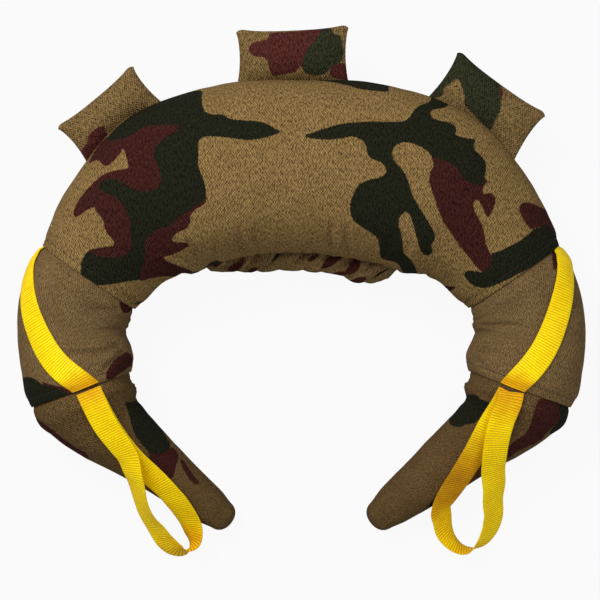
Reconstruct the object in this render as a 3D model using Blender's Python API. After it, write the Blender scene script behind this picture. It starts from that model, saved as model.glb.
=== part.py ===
# Crescent sandbag trainer, lying on its back with its two horns towards -Y.
#
# A canvas centre carries a canvas leg at each end, and each leg carries a
# tapering horn.  Under the canvas lies a sleeve of wool wadding, and inside
# the sleeve a liner packed with sand.  Three stuffed pillow grips are sewn
# along the outer seam, a twisted roll of canvas closes the inner seam, and a
# webbing strap on each leg ends beside a webbing hand loop.
#
# Metres, +Z up, seen from above as it is photographed.  The origin is on the
# floor, under the middle of the whole bag.

import math

import bpy
from mathutils import Vector

# Driving dimensions: the bag's centre line, seen from above

CROWN_RUN = 0.151
CROWN_TURN = math.radians(24.4)
SHOULDER_RUN = 0.0905
SHOULDER_TURN = math.radians(31.0)
LEG_RUN = 0.081
LEG_TURN = math.radians(54.4)
HORN_ROOT_RUN = 0.042
HORN_ROOT_TURN = math.radians(31.0)
HORN_RUN = 0.158
HORN_TURN = math.radians(0.5)

# Driving dimensions: the bag's widths seen from above, and its heights

CROWN_WIDTH = 0.195
CROWN_END_WIDTH = 0.195
SHOULDER_WIDTH = 0.160
LEG_SEAM_WIDTH = 0.126
LEG_WIDTH = 0.116
HORN_SEAM_WIDTH = 0.133
HORN_ROOT_WIDTH = 0.087
TIP_WIDTH = 0.040

CROWN_HEIGHT = 0.150
CROWN_END_HEIGHT = 0.148
SHOULDER_HEIGHT = 0.136
LEG_SEAM_HEIGHT = 0.117
LEG_HEIGHT = 0.110
HORN_SEAM_HEIGHT = 0.114
HORN_ROOT_HEIGHT = 0.092
TIP_HEIGHT = 0.038
TIP_DOME = 0.014

# How far the section's middle lies above the floor, as a share of its half height
FLAT_SHARE = 0.84
# The most that the floor may cut off a section before its foot closes up
FOOT_LIMIT_SHARE = 0.985

# Driving dimensions: layers and lapped seams

CANVAS = 0.0012
LAYER_GAP = 0.0004
WADDING = 0.012
SEAM_GAP = 0.0003
LAP_DEPTH = 0.028
LAP_CLEARANCE = 0.00095
SEAM_SWING = math.radians(10.0)
SWING_MARGIN = 0.0007
LAP_FADE = 0.015
LINER_DOME = 0.007

# Driving dimensions: webbing straps and hand loops

WEBBING_WIDTH = 0.030
WEBBING = 0.0018
STRAP_SEAT = 0.0005
STRAP_START_GAP = 0.002
STRAP_END_GAP = 0.0008
STRAP_START_ANGLE = math.radians(24.0)
STRAP_END_ANGLE = math.radians(99.0)
STRAP_SWEEP_SHARE = 1.55
LOOP_START = 0.006
LOOP_SEAT = 0.0008
LOOP_LAYER_GAP = 0.0006
LOOP_STEP = 0.009
LOOP_SIDE_OFFSET = 0.010

# Driving dimensions: pillow grips and the gathered roll on the inner seam

TOP_GRIP_WIDTH = 0.117
TOP_GRIP_DEPTH = 0.048
TOP_GRIP_PLACE = -0.007
TOP_GRIP_CROWN = 0.020
LEFT_GRIP_WIDTH = 0.109
LEFT_GRIP_DEPTH = 0.035
RIGHT_GRIP_WIDTH = 0.117
RIGHT_GRIP_DEPTH = 0.042
SIDE_GRIP_CROWN = 0.018
LEFT_GRIP_PLACE = 0.163
RIGHT_GRIP_PLACE = 0.159
GRIP_SHELL = 0.0012
GRIP_ROOT = 0.003
GRIP_CORNER = 0.003
GRIP_DIP = 0.002
GRIP_PINCH = 0.003
ROLL_HALF_RUN = 0.150
ROLL_THICKNESS = 0.021
ROLL_MIDDLE_TUCK = math.radians(11.0)
ROLL_END_TUCK = math.radians(34.0)
ROLL_SEAT = 0.0005
ROLL_PITCH = 0.105
ROLL_LOBES = 3
ROLL_LOBE_SHARE = 0.13
ROLL_END_SHARE = 0.55

# The photograph's scale, and the hand loops as they lie in it: how far
# inward and how far down from the seam, in its pixels, and how far the
# webbing has rolled over, from face up at one end to face down at the other

PIXEL = 0.00111
LEFT_LOOP_PIXELS = (
    (0, 0, 2), (7, 18, 6), (15, 38, 12), (27, 57, 20), (38, 74, 28),
    (45, 94, 38), (49, 113, 50), (55, 131, 56), (63, 147, 63), (73, 159, 70),
    (84, 166, 80), (93, 166, 94), (99, 159, 106), (99, 150, 116), (96, 139, 124),
    (90, 128, 131), (82, 116, 138), (71, 103, 144), (57, 89, 150), (43, 76, 154),
    (29, 59, 160), (17, 40, 166), (8, 20, 172), (0, 0, 178),
)
RIGHT_LOOP_PIXELS = (
    (0, 0, 2), (3, 14, 4), (10, 34, 8), (14, 54, 14), (16, 76, 22),
    (17, 98, 32), (18, 119, 44), (19, 134, 54), (24, 150, 62), (33, 160, 70),
    (45, 163, 84), (56, 158, 100), (65, 146, 114), (68, 131, 126), (63, 116, 136),
    (54, 100, 144), (41, 78, 150), (30, 57, 156), (20, 37, 162), (9, 19, 170),
    (0, 0, 178),
)

# Numbers of faces

UPPER_FACES = 12
SIDE_FACES = 3
CROWN_STEPS = 4
SHOULDER_STEPS = 3
LEG_STEPS = 5
HORN_ROOT_STEPS = 1
HORN_STEPS = 5
TIP_DOME_SHARES = ((0.0, 1.0), (0.5, 0.88), (0.87, 0.52), (1.0, 0.0))
STRAP_STEPS = 14
STRAP_FACES = 4
GRIP_ACROSS = 8
GRIP_ALONG = 6
ROLL_STEPS = 28
ROLL_FACES = 12

CANVAS_COLOUR = (0.33, 0.29, 0.20, 1.0)
CANVAS_DARK_COLOUR = (0.20, 0.17, 0.13, 1.0)
WADDING_COLOUR = (0.72, 0.68, 0.60, 1.0)
LINER_COLOUR = (0.45, 0.44, 0.42, 1.0)
WEBBING_COLOUR = (0.86, 0.58, 0.12, 1.0)

# Places along the centre line

LAP_STEP = CANVAS + LAP_CLEARANCE


def swing_run(seam_width):
    """How far a nested piece's start moves along the bag when its seam swings."""
    return (seam_width / 2 - LAP_STEP) * math.sin(SEAM_SWING) + SWING_MARGIN


LEG_HINGE_RUN = swing_run(LEG_SEAM_WIDTH)
HORN_HINGE_RUN = swing_run(HORN_SEAM_WIDTH)
SPINE = (
    (CROWN_RUN, CROWN_TURN),
    (SHOULDER_RUN, SHOULDER_TURN),
    (LEG_HINGE_RUN + LAP_DEPTH + LEG_HINGE_RUN, 0.0),
    (LEG_RUN, LEG_TURN),
    (HORN_HINGE_RUN + LAP_DEPTH + HORN_HINGE_RUN, 0.0),
    (HORN_ROOT_RUN, HORN_ROOT_TURN),
    (HORN_RUN, HORN_TURN),
)
CROWN_END = CROWN_RUN
SHOULDER_END = CROWN_END + SHOULDER_RUN + LEG_HINGE_RUN
LEG_SEAM = SHOULDER_END + LAP_DEPTH
LEG_END = LEG_SEAM + LEG_HINGE_RUN + LEG_RUN + HORN_HINGE_RUN
HORN_SEAM = LEG_END + LAP_DEPTH
HORN_ROOT_END = HORN_SEAM + HORN_HINGE_RUN + HORN_ROOT_RUN
TIP = HORN_ROOT_END + HORN_RUN

SIZE_PLACES = (
    0.0, CROWN_END, (CROWN_END + SHOULDER_END) / 2, LEG_SEAM,
    (LEG_SEAM + HORN_SEAM) / 2, HORN_SEAM, HORN_ROOT_END, TIP,
)
WIDTHS = (
    CROWN_WIDTH, CROWN_END_WIDTH, SHOULDER_WIDTH, LEG_SEAM_WIDTH,
    LEG_WIDTH, HORN_SEAM_WIDTH, HORN_ROOT_WIDTH, TIP_WIDTH,
)
HEIGHTS = (
    CROWN_HEIGHT, CROWN_END_HEIGHT, SHOULDER_HEIGHT, LEG_SEAM_HEIGHT,
    LEG_HEIGHT, HORN_SEAM_HEIGHT, HORN_ROOT_HEIGHT, TIP_HEIGHT,
)


def spine(distance):
    """Place and heading of the centre line, that far to the right of the crown's middle."""
    x, y, heading = 0.0, 0.0, 0.0
    rest = distance
    for index, (run, turn) in enumerate(SPINE):
        last = index == len(SPINE) - 1
        step = rest if last else min(rest, run)
        bend = turn * step / run
        if last and step > run:
            bend = turn
        if abs(bend) > 0:
            chord = step * math.sin(bend / 2) / (bend / 2)
        else:
            chord = step
        x += chord * math.cos(heading + bend / 2)
        y -= chord * math.sin(heading + bend / 2)
        heading += bend
        rest -= step
        if rest <= 0:
            break
    return x, y, heading


def smooth_through(places, values, place):
    """Value at a place, on a smooth curve through values at given places."""
    if place >= places[-1]:
        return values[-1]
    slopes = []
    for i in range(len(places)):
        low = max(i - 1, 0)
        high = min(i + 1, len(places) - 1)
        slopes.append((values[high] - values[low]) / (places[high] - places[low]))
    slopes[0] = 0.0
    i = 0
    while place > places[i + 1]:
        i += 1
    span = places[i + 1] - places[i]
    t = (place - places[i]) / span
    start = values[i] * (1 + 2 * t) * (1 - t) ** 2 + slopes[i] * span * t * (1 - t) ** 2
    end = values[i + 1] * (3 - 2 * t) * t ** 2 - slopes[i + 1] * span * (1 - t) * t ** 2
    return start + end


def outside(distance):
    """Half width, half height, middle height and floor of the bag's outer surface."""
    half_width = smooth_through(SIZE_PLACES, WIDTHS, distance) / 2
    half_height = smooth_through(SIZE_PLACES, HEIGHTS, distance) / (1 + FLAT_SHARE)
    return half_width, half_height, half_height * FLAT_SHARE, 0.0


def nested(distance, seam, hinge_run):
    """The same for a piece that starts under a lapped hem and is round about the seam."""
    past = distance - seam
    width, height, middle, floor = outside(seam)
    width -= LAP_STEP
    height -= LAP_STEP

    def rounded(offset):
        narrowing = math.sqrt(1 - (offset / width) ** 2)
        return width * narrowing, height * narrowing, middle, LAP_STEP

    if past <= hinge_run:
        return rounded(past)
    if past >= hinge_run + LAP_FADE:
        return outside(distance)
    fade = (past - hinge_run) / LAP_FADE
    near = rounded(hinge_run)
    far = outside(seam + hinge_run + LAP_FADE)
    return tuple(a + (b - a) * fade for a, b in zip(near, far))


def leg_size(distance):
    return nested(distance, LEG_SEAM, LEG_HINGE_RUN)


def horn_size(distance):
    return nested(distance, HORN_SEAM, HORN_HINGE_RUN)


def section(size, inset):
    """Points (sideways, up) round one cross-section, from the outer seam over the top."""
    half_width, half_height, middle, floor = size
    half_width -= inset
    half_height -= inset
    floor += inset
    foot = math.asin(min((middle - floor) / half_height, FOOT_LIMIT_SHARE))
    angles = [math.pi * k / UPPER_FACES for k in range(UPPER_FACES)]
    angles += [math.pi + foot * k / SIDE_FACES for k in range(SIDE_FACES + 1)]
    angles += [1.5 * math.pi]
    angles += [2 * math.pi - foot * (1 - k / SIDE_FACES) for k in range(SIDE_FACES)]
    bottom = middle - half_height * math.sin(foot)
    points = []
    for angle in angles:
        up = middle + half_height * math.sin(angle)
        points.append((half_width * math.cos(angle), max(up, bottom)))
    return points


def at(distance, sideways, up):
    """A point given along the centre line, outward from it and up; left of the middle if negative."""
    x, y, heading = spine(abs(distance))
    side = -1 if distance < 0 else 1
    east = side * (x + sideways * math.sin(heading))
    return Vector((east, y + sideways * math.cos(heading), up))


def ring(distance, size, inset, shrink=1.0):
    """One ring of points round the bag; shrink draws it towards its middle."""
    middle = size[2]
    points = []
    for sideways, up in section(size, inset):
        points.append(at(distance, sideways * shrink, middle + (up - middle) * shrink))
    return points


def pole(distance, size):
    return [at(distance, 0.0, size[2])]


def steps(start, end, count):
    """Places from after start up to end."""
    return [start + (end - start) * k / count for k in range(1, count + 1)]


# Meshes

def band(low, high):
    """Triangles between two rings of vertex numbers; a ring of one number is a point."""
    count = max(len(low), len(high))
    faces = []
    for k in range(count):
        after = (k + 1) % count
        if len(low) == 1:
            faces.append((low[0], high[after], high[k]))
        elif len(high) == 1:
            faces.append((low[k], low[after], high[0]))
        else:
            faces.append((low[k], low[after], high[after]))
            faces.append((low[k], high[after], high[k]))
    return faces


def flipped(faces):
    return [tuple(reversed(face)) for face in faces]


def numbered(rings, points):
    """Adds rings of points to the list and returns their vertex numbers."""
    numbers = []
    for one in rings:
        numbers.append(list(range(len(points), len(points) + len(one))))
        points.extend(one)
    return numbers


def plug(rings):
    """A closed solid through rings, its ends filled across."""
    points = []
    numbers = numbered(rings, points)
    faces = []
    for low, high in zip(numbers, numbers[1:]):
        faces += band(low, high)
    for end, is_start in ((numbers[0], True), (numbers[-1], False)):
        if len(end) > 1:
            cap = [(end[0], end[k], end[k + 1]) for k in range(1, len(end) - 1)]
            faces += flipped(cap) if is_start else cap
    return points, faces


def sleeve(outer, inner):
    """A tube with a wall, between outer and inner rings; it is closed where they end in points."""
    points = []
    outside_numbers = numbered(outer, points)
    inside_numbers = numbered(inner, points)
    faces = []
    for low, high in zip(outside_numbers, outside_numbers[1:]):
        faces += band(low, high)
    for low, high in zip(inside_numbers, inside_numbers[1:]):
        faces += flipped(band(low, high))
    faces += band(inside_numbers[0], outside_numbers[0])
    if len(outer[-1]) > 1:
        faces += flipped(band(inside_numbers[-1], outside_numbers[-1]))
    return points, faces


def panel(outer, inner):
    """A sheet with a thickness, between two grids of points in rows."""
    points = []
    top = numbered(outer, points)
    under = numbered(inner, points)
    faces = []
    columns = len(top[0])
    for i in range(len(top) - 1):
        for k in range(columns - 1):
            faces.append((top[i][k], top[i][k + 1], top[i + 1][k + 1]))
            faces.append((top[i][k], top[i + 1][k + 1], top[i + 1][k]))
            faces.append((under[i][k], under[i + 1][k + 1], under[i][k + 1]))
            faces.append((under[i][k], under[i + 1][k], under[i + 1][k + 1]))
        for k, turned in ((0, False), (columns - 1, True)):
            a, b, c, d = top[i][k], top[i + 1][k], under[i + 1][k], under[i][k]
            wall = [(a, b, c), (a, c, d)]
            faces += flipped(wall) if turned else wall
    for i, turned in ((0, True), (len(top) - 1, False)):
        for k in range(columns - 1):
            a, b, c, d = top[i][k], top[i][k + 1], under[i][k + 1], under[i][k]
            wall = [(a, b, c), (a, c, d)]
            faces += flipped(wall) if turned else wall
    return points, faces


def material(name, colour, roughness):
    made = bpy.data.materials.new(name)
    made.use_nodes = True
    shader = made.node_tree.nodes["Principled BSDF"]
    shader.inputs["Base Color"].default_value = colour
    shader.inputs["Roughness"].default_value = roughness
    shader.inputs["Metallic"].default_value = 0.0
    made.diffuse_color = colour
    return made


def place(name, shape, colour, roughness, parent, mirror=False):
    """Makes one object from points in the bag's frame, under its body's empty."""
    points, faces = shape
    if mirror:
        points = [Vector((-p.x, p.y, p.z)) for p in points]
    corners = [p + SHIFT - PLACES[parent.name] for p in points]
    mesh = bpy.data.meshes.new(name)
    mesh.from_pydata(corners, [], faces)
    volume = 0.0
    for a, b, c in faces:
        volume += corners[a].dot(corners[b].cross(corners[c])) / 6
    if volume < 0:
        mesh.flip_normals()
    mesh.shade_smooth()
    mesh.set_sharp_from_angle(angle=math.radians(50))
    made = bpy.data.objects.new(name, mesh)
    made.data.materials.append(material(name, colour, roughness))
    made.parent = parent
    bpy.context.collection.objects.link(made)
    return made


PLACES = {}


def body(name, where, parent=None):
    """An empty on a body's joint axis."""
    made = bpy.data.objects.new(name, None)
    made.empty_display_size = WEBBING_WIDTH
    bpy.context.collection.objects.link(made)
    PLACES[name] = where
    if parent:
        made.parent = parent
        made.location = where - PLACES[parent.name]
    else:
        made.location = where
    return made


for old in list(bpy.data.objects):
    bpy.data.objects.remove(old, do_unlink=True)

# Hand loops: where the webbing runs, how high it lies and how far it has rolled

HORN_ROWS = []
for number in range(61):
    place_now = HORN_SEAM + (TIP + TIP_DOME - HORN_SEAM) * number / 60
    here = horn_size(min(place_now, TIP))
    beyond = max(place_now - TIP, 0.0) / TIP_DOME
    HORN_ROWS.append((spine(place_now), here, math.sqrt(max(1 - beyond ** 2, 0.0))))


def horn_top(x, y):
    """Height over a point that just clears the right horn's surface, or zero beside it."""
    best = None
    for (px, py, heading), size, shrink in HORN_ROWS:
        away = (x - px) ** 2 + (y - py) ** 2
        if best is None or away < best[0]:
            sideways = (x - px) * math.sin(heading) + (y - py) * math.cos(heading)
            best = (away, sideways, size, shrink)
    away, sideways, size, shrink = best
    reach = size[0] * shrink + LOOP_SEAT
    if abs(sideways) >= reach:
        return 0.0
    return size[2] + (size[1] * shrink + LOOP_SEAT) * math.sqrt(1 - (sideways / reach) ** 2)


def curve_through(points, step):
    """Evenly spaced points on a smooth curve through rows of numbers."""
    rows = [points[0]] + list(points) + [points[-1]]
    dense = []
    for a, b, c, d in zip(rows, rows[1:], rows[2:], rows[3:]):
        for k in range(12):
            t = k / 12
            dense.append(tuple(
                0.5 * (2 * q + (r - p) * t + (2 * p - 5 * q + 4 * r - s) * t * t
                       + (3 * q - p - 3 * r + s) * t ** 3)
                for p, q, r, s in zip(a, b, c, d)))
    dense.append(points[-1])
    lengths = [0.0]
    for a, b in zip(dense, dense[1:]):
        lengths.append(lengths[-1] + math.hypot(b[0] - a[0], b[1] - a[1]))
    count = max(int(round(lengths[-1] / step)), 8)
    even = []
    i = 0
    for number in range(count + 1):
        goal = lengths[-1] * number / count
        while i < len(lengths) - 2 and lengths[i + 1] < goal:
            i += 1
        t = (goal - lengths[i]) / (lengths[i + 1] - lengths[i])
        even.append(tuple(a + (b - a) * t for a, b in zip(dense[i], dense[i + 1])))
    return even


def loop_route(pixels):
    """The webbing's middle line on the right horn: x, y and roll at even steps."""
    x, y, heading = spine(HORN_SEAM)
    x -= LOOP_SIDE_OFFSET * math.sin(heading)
    y -= LOOP_SIDE_OFFSET * math.cos(heading)
    rows = []
    for inward, down, roll in pixels:
        rows.append((x - inward * PIXEL, y - down * PIXEL, math.radians(roll)))
    start = (x + LOOP_START * math.cos(heading), y - LOOP_START * math.sin(heading))
    rows[0] = (*start, rows[0][2])
    rows[-1] = (*start, rows[-1][2])
    return curve_through(rows, LOOP_STEP)


def outward_of(route, i):
    """Unit vector in plan, square to the route and away from the hand hole."""
    a = route[max(i - 1, 0)]
    b = route[min(i + 1, len(route) - 1)]
    if i == 0 or i == len(route) - 1:
        heading = spine(HORN_SEAM)[2]
        turn = 1 if i == 0 else -1
        return math.sin(heading) * turn, math.cos(heading) * turn
    dx, dy = b[0] - a[0], b[1] - a[1]
    length = math.hypot(dx, dy)
    return -dy / length, dx / length


ACROSS_SHARES = (-0.5, -0.375, -0.25, -0.125, 0.0, 0.125, 0.25, 0.375, 0.5)
STIFF_SLOPE_SHARE = 0.75
LAYER_SLOPE_SHARE = 1.35
RUN_SPLIT_SHARE = 0.38


def webbing_frame(route, heights, i):
    """Middle of the webbing at one step, and its unit vectors across and off its face."""
    x, y, roll = route[i]
    ox, oy = outward_of(route, i)
    across = Vector((math.cos(roll) * ox, math.cos(roll) * oy, -math.sin(roll)))
    before, after = max(i - 1, 0), min(i + 1, len(route) - 1)
    along = Vector((*route[after][:2], heights[after])) - Vector((*route[before][:2], heights[before]))
    along.normalize()
    face = Vector((0, 0, -1 if i else 1))
    if 0 < i < len(route) - 1:
        across = (across - along * across.dot(along)).normalized()
        face = along.cross(across).normalized()
    return Vector((x, y, heights[i])), across, face


def loop_heights(route):
    """Height of the webbing's middle line: on the horn, on the floor, or on its own lower run."""
    count = len(route)

    def settled(needs):
        """The lowest line over all the needs that stiff webbing can follow."""
        fall = STIFF_SLOPE_SHARE * LOOP_STEP
        lines = [max(n - fall * abs(i - j) for j, n in enumerate(needs)) for i in range(count)]
        for turn in range(6):
            eased = list(lines)
            for i in range(1, count - 1):
                eased[i] = (lines[i - 1] + 2 * lines[i] + lines[i + 1]) / 4
            lines = [max(e, n) for e, n in zip(eased, needs)]
        return lines

    def short_of(heights, i, top_of, thick):
        """How far the webbing must rise at one step to clear a surface by its own thickness."""
        middle, across, face = webbing_frame(route, heights, i)
        short = -middle.z
        for share in ACROSS_SHARES:
            point = middle + across * share * WEBBING_WIDTH
            clear = thick * max(abs(face.z), STIFF_SLOPE_SHARE)
            short = max(short, top_of(point.x, point.y) + clear - point.z)
        return short

    needs = [0.0] * count
    heights = settled(needs)
    for turn in range(5):
        for i in range(count):
            short = short_of(heights, i, horn_top, WEBBING / 2 + STRAP_SEAT)
            needs[i] = max(needs[i], heights[i] + short) if short > 0 else needs[i]
        heights = settled(needs)

    split = int(count * RUN_SPLIT_SHARE)
    lower = {}
    for j in range(count - split, count):
        here = webbing_frame(route, heights, j)
        before = webbing_frame(route, heights, j - 1)
        for part_share in ACROSS_SHARES:
            for share in ACROSS_SHARES:
                k = part_share + 0.5
                one = before[0].lerp(here[0], k)
                one += before[1].lerp(here[1], k) * share * WEBBING_WIDTH
                cell = (round(one.x / WEBBING / 2), round(one.y / WEBBING / 2))
                lower[cell] = max(lower.get(cell, 0.0), one.z)

    def run_top(x, y):
        cell = (round(x / WEBBING / 2), round(y / WEBBING / 2))
        around = [(cell[0] + i, cell[1] + j) for i in (-1, 0, 1) for j in (-1, 0, 1)]
        return max(lower.get(c, 0.0) for c in around)

    layer = (WEBBING + LOOP_LAYER_GAP) * LAYER_SLOPE_SHARE
    for turn in range(5):
        for i in range(split):
            short = short_of(heights, i, run_top, layer)
            needs[i] = max(needs[i], heights[i] + short) if short > 0 else needs[i]
        heights = settled(needs)
    return heights


def loop_shape(route, heights):
    """The webbing as one solid strip along its route."""
    rings = []
    for i in range(len(route)):
        middle, across, face = webbing_frame(route, heights, i)
        wide = across * WEBBING_WIDTH / 2
        thick = face * WEBBING / 2
        rings.append([middle - wide - thick, middle + wide - thick,
                      middle + wide + thick, middle - wide + thick])
    return plug(rings)


loops = {}
for side_name, pixels in (("left", LEFT_LOOP_PIXELS), ("right", RIGHT_LOOP_PIXELS)):
    route = loop_route(pixels)
    heights = loop_heights(route)
    loops[side_name] = (loop_shape(route, heights), (heights[0] + heights[-1]) / 2)

# The origin: midway between the top grip's edge and the lowest hand loop

TOP_GRIP_SEAT = CROWN_WIDTH / 2 + LAYER_GAP + GRIP_ROOT
top_edge = TOP_GRIP_SEAT + TOP_GRIP_DEPTH + GRIP_CORNER
bottom_edge = min(p.y for shape, height in loops.values() for p in shape[0])
SHIFT = Vector((0.0, -(top_edge + bottom_edge) / 2, 0.0))


# Bodies, each with its empty on its joint's axis

def seam_point(distance, side):
    x, y, heading = spine(distance)
    return Vector((x * side, y, 0.0)) + SHIFT


centre_body = body("centre", Vector((0.0, 0.0, 0.0)))
bodies = {}
for side_name, side in (("left", -1), ("right", 1)):
    leg_body = body(side_name + "_leg", seam_point(LEG_SEAM, side), centre_body)
    horn_body = body(side_name + "_horn", seam_point(HORN_SEAM, side), leg_body)
    root = seam_point(HORN_SEAM + LOOP_START, side)
    heading = spine(HORN_SEAM)[2]
    root.x -= side * LOOP_SIDE_OFFSET * math.sin(heading)
    root.y -= LOOP_SIDE_OFFSET * math.cos(heading)
    root.z = loops[side_name][1]
    loop_body = body(side_name + "_loop", root, horn_body)
    bodies[side_name] = (side, leg_body, horn_body, loop_body)

# The centre: two canvas panels, the wadding sleeve and the sand liner

fill_end = SHOULDER_END - LEG_HINGE_RUN
half_places = steps(0.0, CROWN_END, CROWN_STEPS) + steps(CROWN_END, fill_end, SHOULDER_STEPS)
cover_places = half_places + [SHOULDER_END, LEG_SEAM]
cover_places = [-p for p in reversed(cover_places)] + [0.0] + cover_places


def centre_size(distance):
    return outside(abs(distance))


def half_cover(first, last, lift):
    """Rows of points on part of the centre's rings, their seam edges moved by lift."""
    grids = []
    for inset in (0.0, CANVAS):
        rows = []
        for distance in cover_places:
            around = ring(distance, centre_size(distance), inset)
            around = (around + around)[first:last + 1]
            around[0] = around[0] + Vector((0, 0, lift))
            around[-1] = around[-1] + Vector((0, 0, lift))
            rows.append(around)
        grids.append(rows)
    return grids


ring_count = len(section(outside(0.0), 0.0))
front = half_cover(0, UPPER_FACES, SEAM_GAP / 2)
back = half_cover(UPPER_FACES, ring_count, -SEAM_GAP / 2)
place("centre_front_panel", panel(*front), CANVAS_COLOUR, 0.9, centre_body)
place("centre_back_panel", panel(*back), CANVAS_COLOUR, 0.9, centre_body)

fill_places = [-p for p in reversed(half_places)] + [0.0] + half_places
wadding_out = CANVAS + LAYER_GAP
wadding_in = wadding_out + WADDING
liner_out = wadding_in + LAYER_GAP


def rings_along(places, size_of, inset):
    return [ring(p, size_of(p), inset) for p in places]


place("centre_wadding_sleeve",
      sleeve(rings_along(fill_places, centre_size, wadding_out),
             rings_along(fill_places, centre_size, wadding_in)),
      WADDING_COLOUR, 1.0, centre_body)
place("centre_sand_liner", plug(rings_along(fill_places, centre_size, liner_out)),
      LINER_COLOUR, 0.7, centre_body)

# The gathered roll of canvas along the inner seam

def roll_rings():
    rings = []
    for number in range(ROLL_STEPS + 1):
        share = 2 * number / ROLL_STEPS - 1
        distance = share * ROLL_HALF_RUN
        radius = ROLL_THICKNESS / 2 * (1 - (1 - ROLL_END_SHARE) * share ** 4)
        half_width, half_height, middle, floor = centre_size(distance)
        sweep = math.sin(abs(share) * math.pi / 2)
        tuck = math.pi + ROLL_MIDDLE_TUCK + (ROLL_END_TUCK - ROLL_MIDDLE_TUCK) * sweep
        off = radius * (1 + ROLL_LOBE_SHARE) + ROLL_SEAT
        centre_side = (half_width + off) * math.cos(tuck)
        centre_up = middle + (half_height + off) * math.sin(tuck)
        points = []
        for k in range(ROLL_FACES):
            angle = 2 * math.pi * k / ROLL_FACES
            lobe = math.cos(ROLL_LOBES * (angle - 2 * math.pi * distance / ROLL_PITCH))
            reach = radius * (1 + ROLL_LOBE_SHARE * lobe)
            points.append(at(distance, centre_side + reach * math.cos(angle),
                             centre_up + reach * math.sin(angle)))
        rings.append(points)
    return rings


place("centre_gathered_roll", plug(roll_rings()), CANVAS_DARK_COLOUR, 0.95, centre_body)

# Legs: canvas cover, wadding sleeve and sand liner

leg_start = LEG_SEAM - LAP_DEPTH
leg_bend_start = LEG_SEAM + LEG_HINGE_RUN
leg_fill_end = LEG_END - HORN_HINGE_RUN
leg_fill = [leg_start, LEG_SEAM, leg_bend_start, leg_bend_start + LAP_FADE]
leg_fill += steps(leg_bend_start + LAP_FADE, leg_fill_end, LEG_STEPS)
leg_cover = leg_fill + [LEG_END, HORN_SEAM]

# Horns: canvas cover closed at the tip, and wadding packed in it

horn_start = HORN_SEAM - LAP_DEPTH
horn_bend_start = HORN_SEAM + HORN_HINGE_RUN
horn_places = [horn_start, HORN_SEAM, horn_bend_start, horn_bend_start + LAP_FADE]
horn_places += steps(horn_bend_start + LAP_FADE, HORN_ROOT_END, HORN_ROOT_STEPS)
horn_places += steps(HORN_ROOT_END, TIP, HORN_STEPS)


def horn_rings(inset):
    """Rings of a horn layer, ending in a rounded tip."""
    rings = [ring(p, horn_size(p), inset) for p in horn_places[:-1]]
    for along_share, round_share in TIP_DOME_SHARES:
        distance = TIP + (TIP_DOME - inset) * along_share
        if round_share:
            rings.append(ring(distance, horn_size(TIP), inset, round_share))
        else:
            rings.append(pole(distance, horn_size(TIP)))
    return rings


def domed_liner():
    """The leg's sand liner, with its start rounded towards the centre's."""
    rings = rings_along(leg_fill, leg_size, liner_out)
    return plug([pole(leg_start - LINER_DOME, leg_size(leg_start))] + rings)


# Straps: webbing sewn along each leg, from its outer side up to the horn seam

def on_leg(distance, angle, off):
    """A point on the leg's cover, that far round its section and off its surface."""
    half_width, half_height, middle, floor = leg_size(distance)
    return at(distance, (half_width + off) * math.cos(angle),
              middle + (half_height + off) * math.sin(angle))


def strap_line(share):
    """Distance and angle of the strap's middle line."""
    start = leg_bend_start + STRAP_START_GAP
    end = HORN_SEAM - STRAP_END_GAP
    swept = share ** STRAP_SWEEP_SHARE
    angle = STRAP_START_ANGLE + (STRAP_END_ANGLE - STRAP_START_ANGLE) * swept
    return start + (end - start) * share, angle


def strap_rows(off):
    rows = []
    for number in range(STRAP_STEPS + 1):
        share = number / STRAP_STEPS
        distance, angle = strap_line(share)
        turn = math.radians(1)
        small = WEBBING
        around = on_leg(distance, angle + turn, 0) - on_leg(distance, angle - turn, 0)
        along = on_leg(distance + small, angle, 0) - on_leg(distance - small, angle, 0)
        around_rate = around.length / (2 * turn)
        along_rate = along.length / (2 * small)
        ahead = strap_line(min(share + 0.02, 1.0))
        behind = strap_line(max(share - 0.02, 0.0))
        forward = (ahead[0] - behind[0]) * along_rate
        upward = (ahead[1] - behind[1]) * around_rate
        length = math.hypot(forward, upward)
        row = []
        for k in range(STRAP_FACES + 1):
            q = WEBBING_WIDTH * (k / STRAP_FACES - 0.5)
            ends = min(share, 1 - share) * STRAP_STEPS
            slant = min(ends, 1.0)
            shift = -q * upward / length / along_rate * slant
            swing = q * (forward / length * slant + 1 - slant) / around_rate
            row.append(on_leg(distance + shift, angle + swing, off))
        rows.append(row)
    return rows


strap = panel(strap_rows(STRAP_SEAT + WEBBING), strap_rows(STRAP_SEAT))

for side_name, (side, leg_body, horn_body, loop_body) in bodies.items():
    mirror = side < 0
    place(side_name + "_leg_cover",
          sleeve(rings_along(leg_cover, leg_size, 0.0), rings_along(leg_cover, leg_size, CANVAS)),
          CANVAS_COLOUR, 0.9, leg_body, mirror)
    place(side_name + "_leg_wadding_sleeve",
          sleeve(rings_along(leg_fill, leg_size, wadding_out),
                 rings_along(leg_fill, leg_size, wadding_in)),
          WADDING_COLOUR, 1.0, leg_body, mirror)
    place(side_name + "_leg_sand_liner", domed_liner(), LINER_COLOUR, 0.7, leg_body, mirror)
    place(side_name + "_leg_strap", strap, WEBBING_COLOUR, 0.6, leg_body, mirror)
    place(side_name + "_horn_cover", sleeve(horn_rings(0.0), horn_rings(CANVAS)),
          CANVAS_COLOUR, 0.9, horn_body, mirror)
    place(side_name + "_horn_wadding", plug(horn_rings(wadding_out)),
          WADDING_COLOUR, 1.0, horn_body, mirror)
    place(side_name + "_hand_loop", loops[side_name][0], WEBBING_COLOUR, 0.6, loop_body, mirror)

# Pillow grips: two canvas panels sewn edge to edge round a stuffed core

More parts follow.
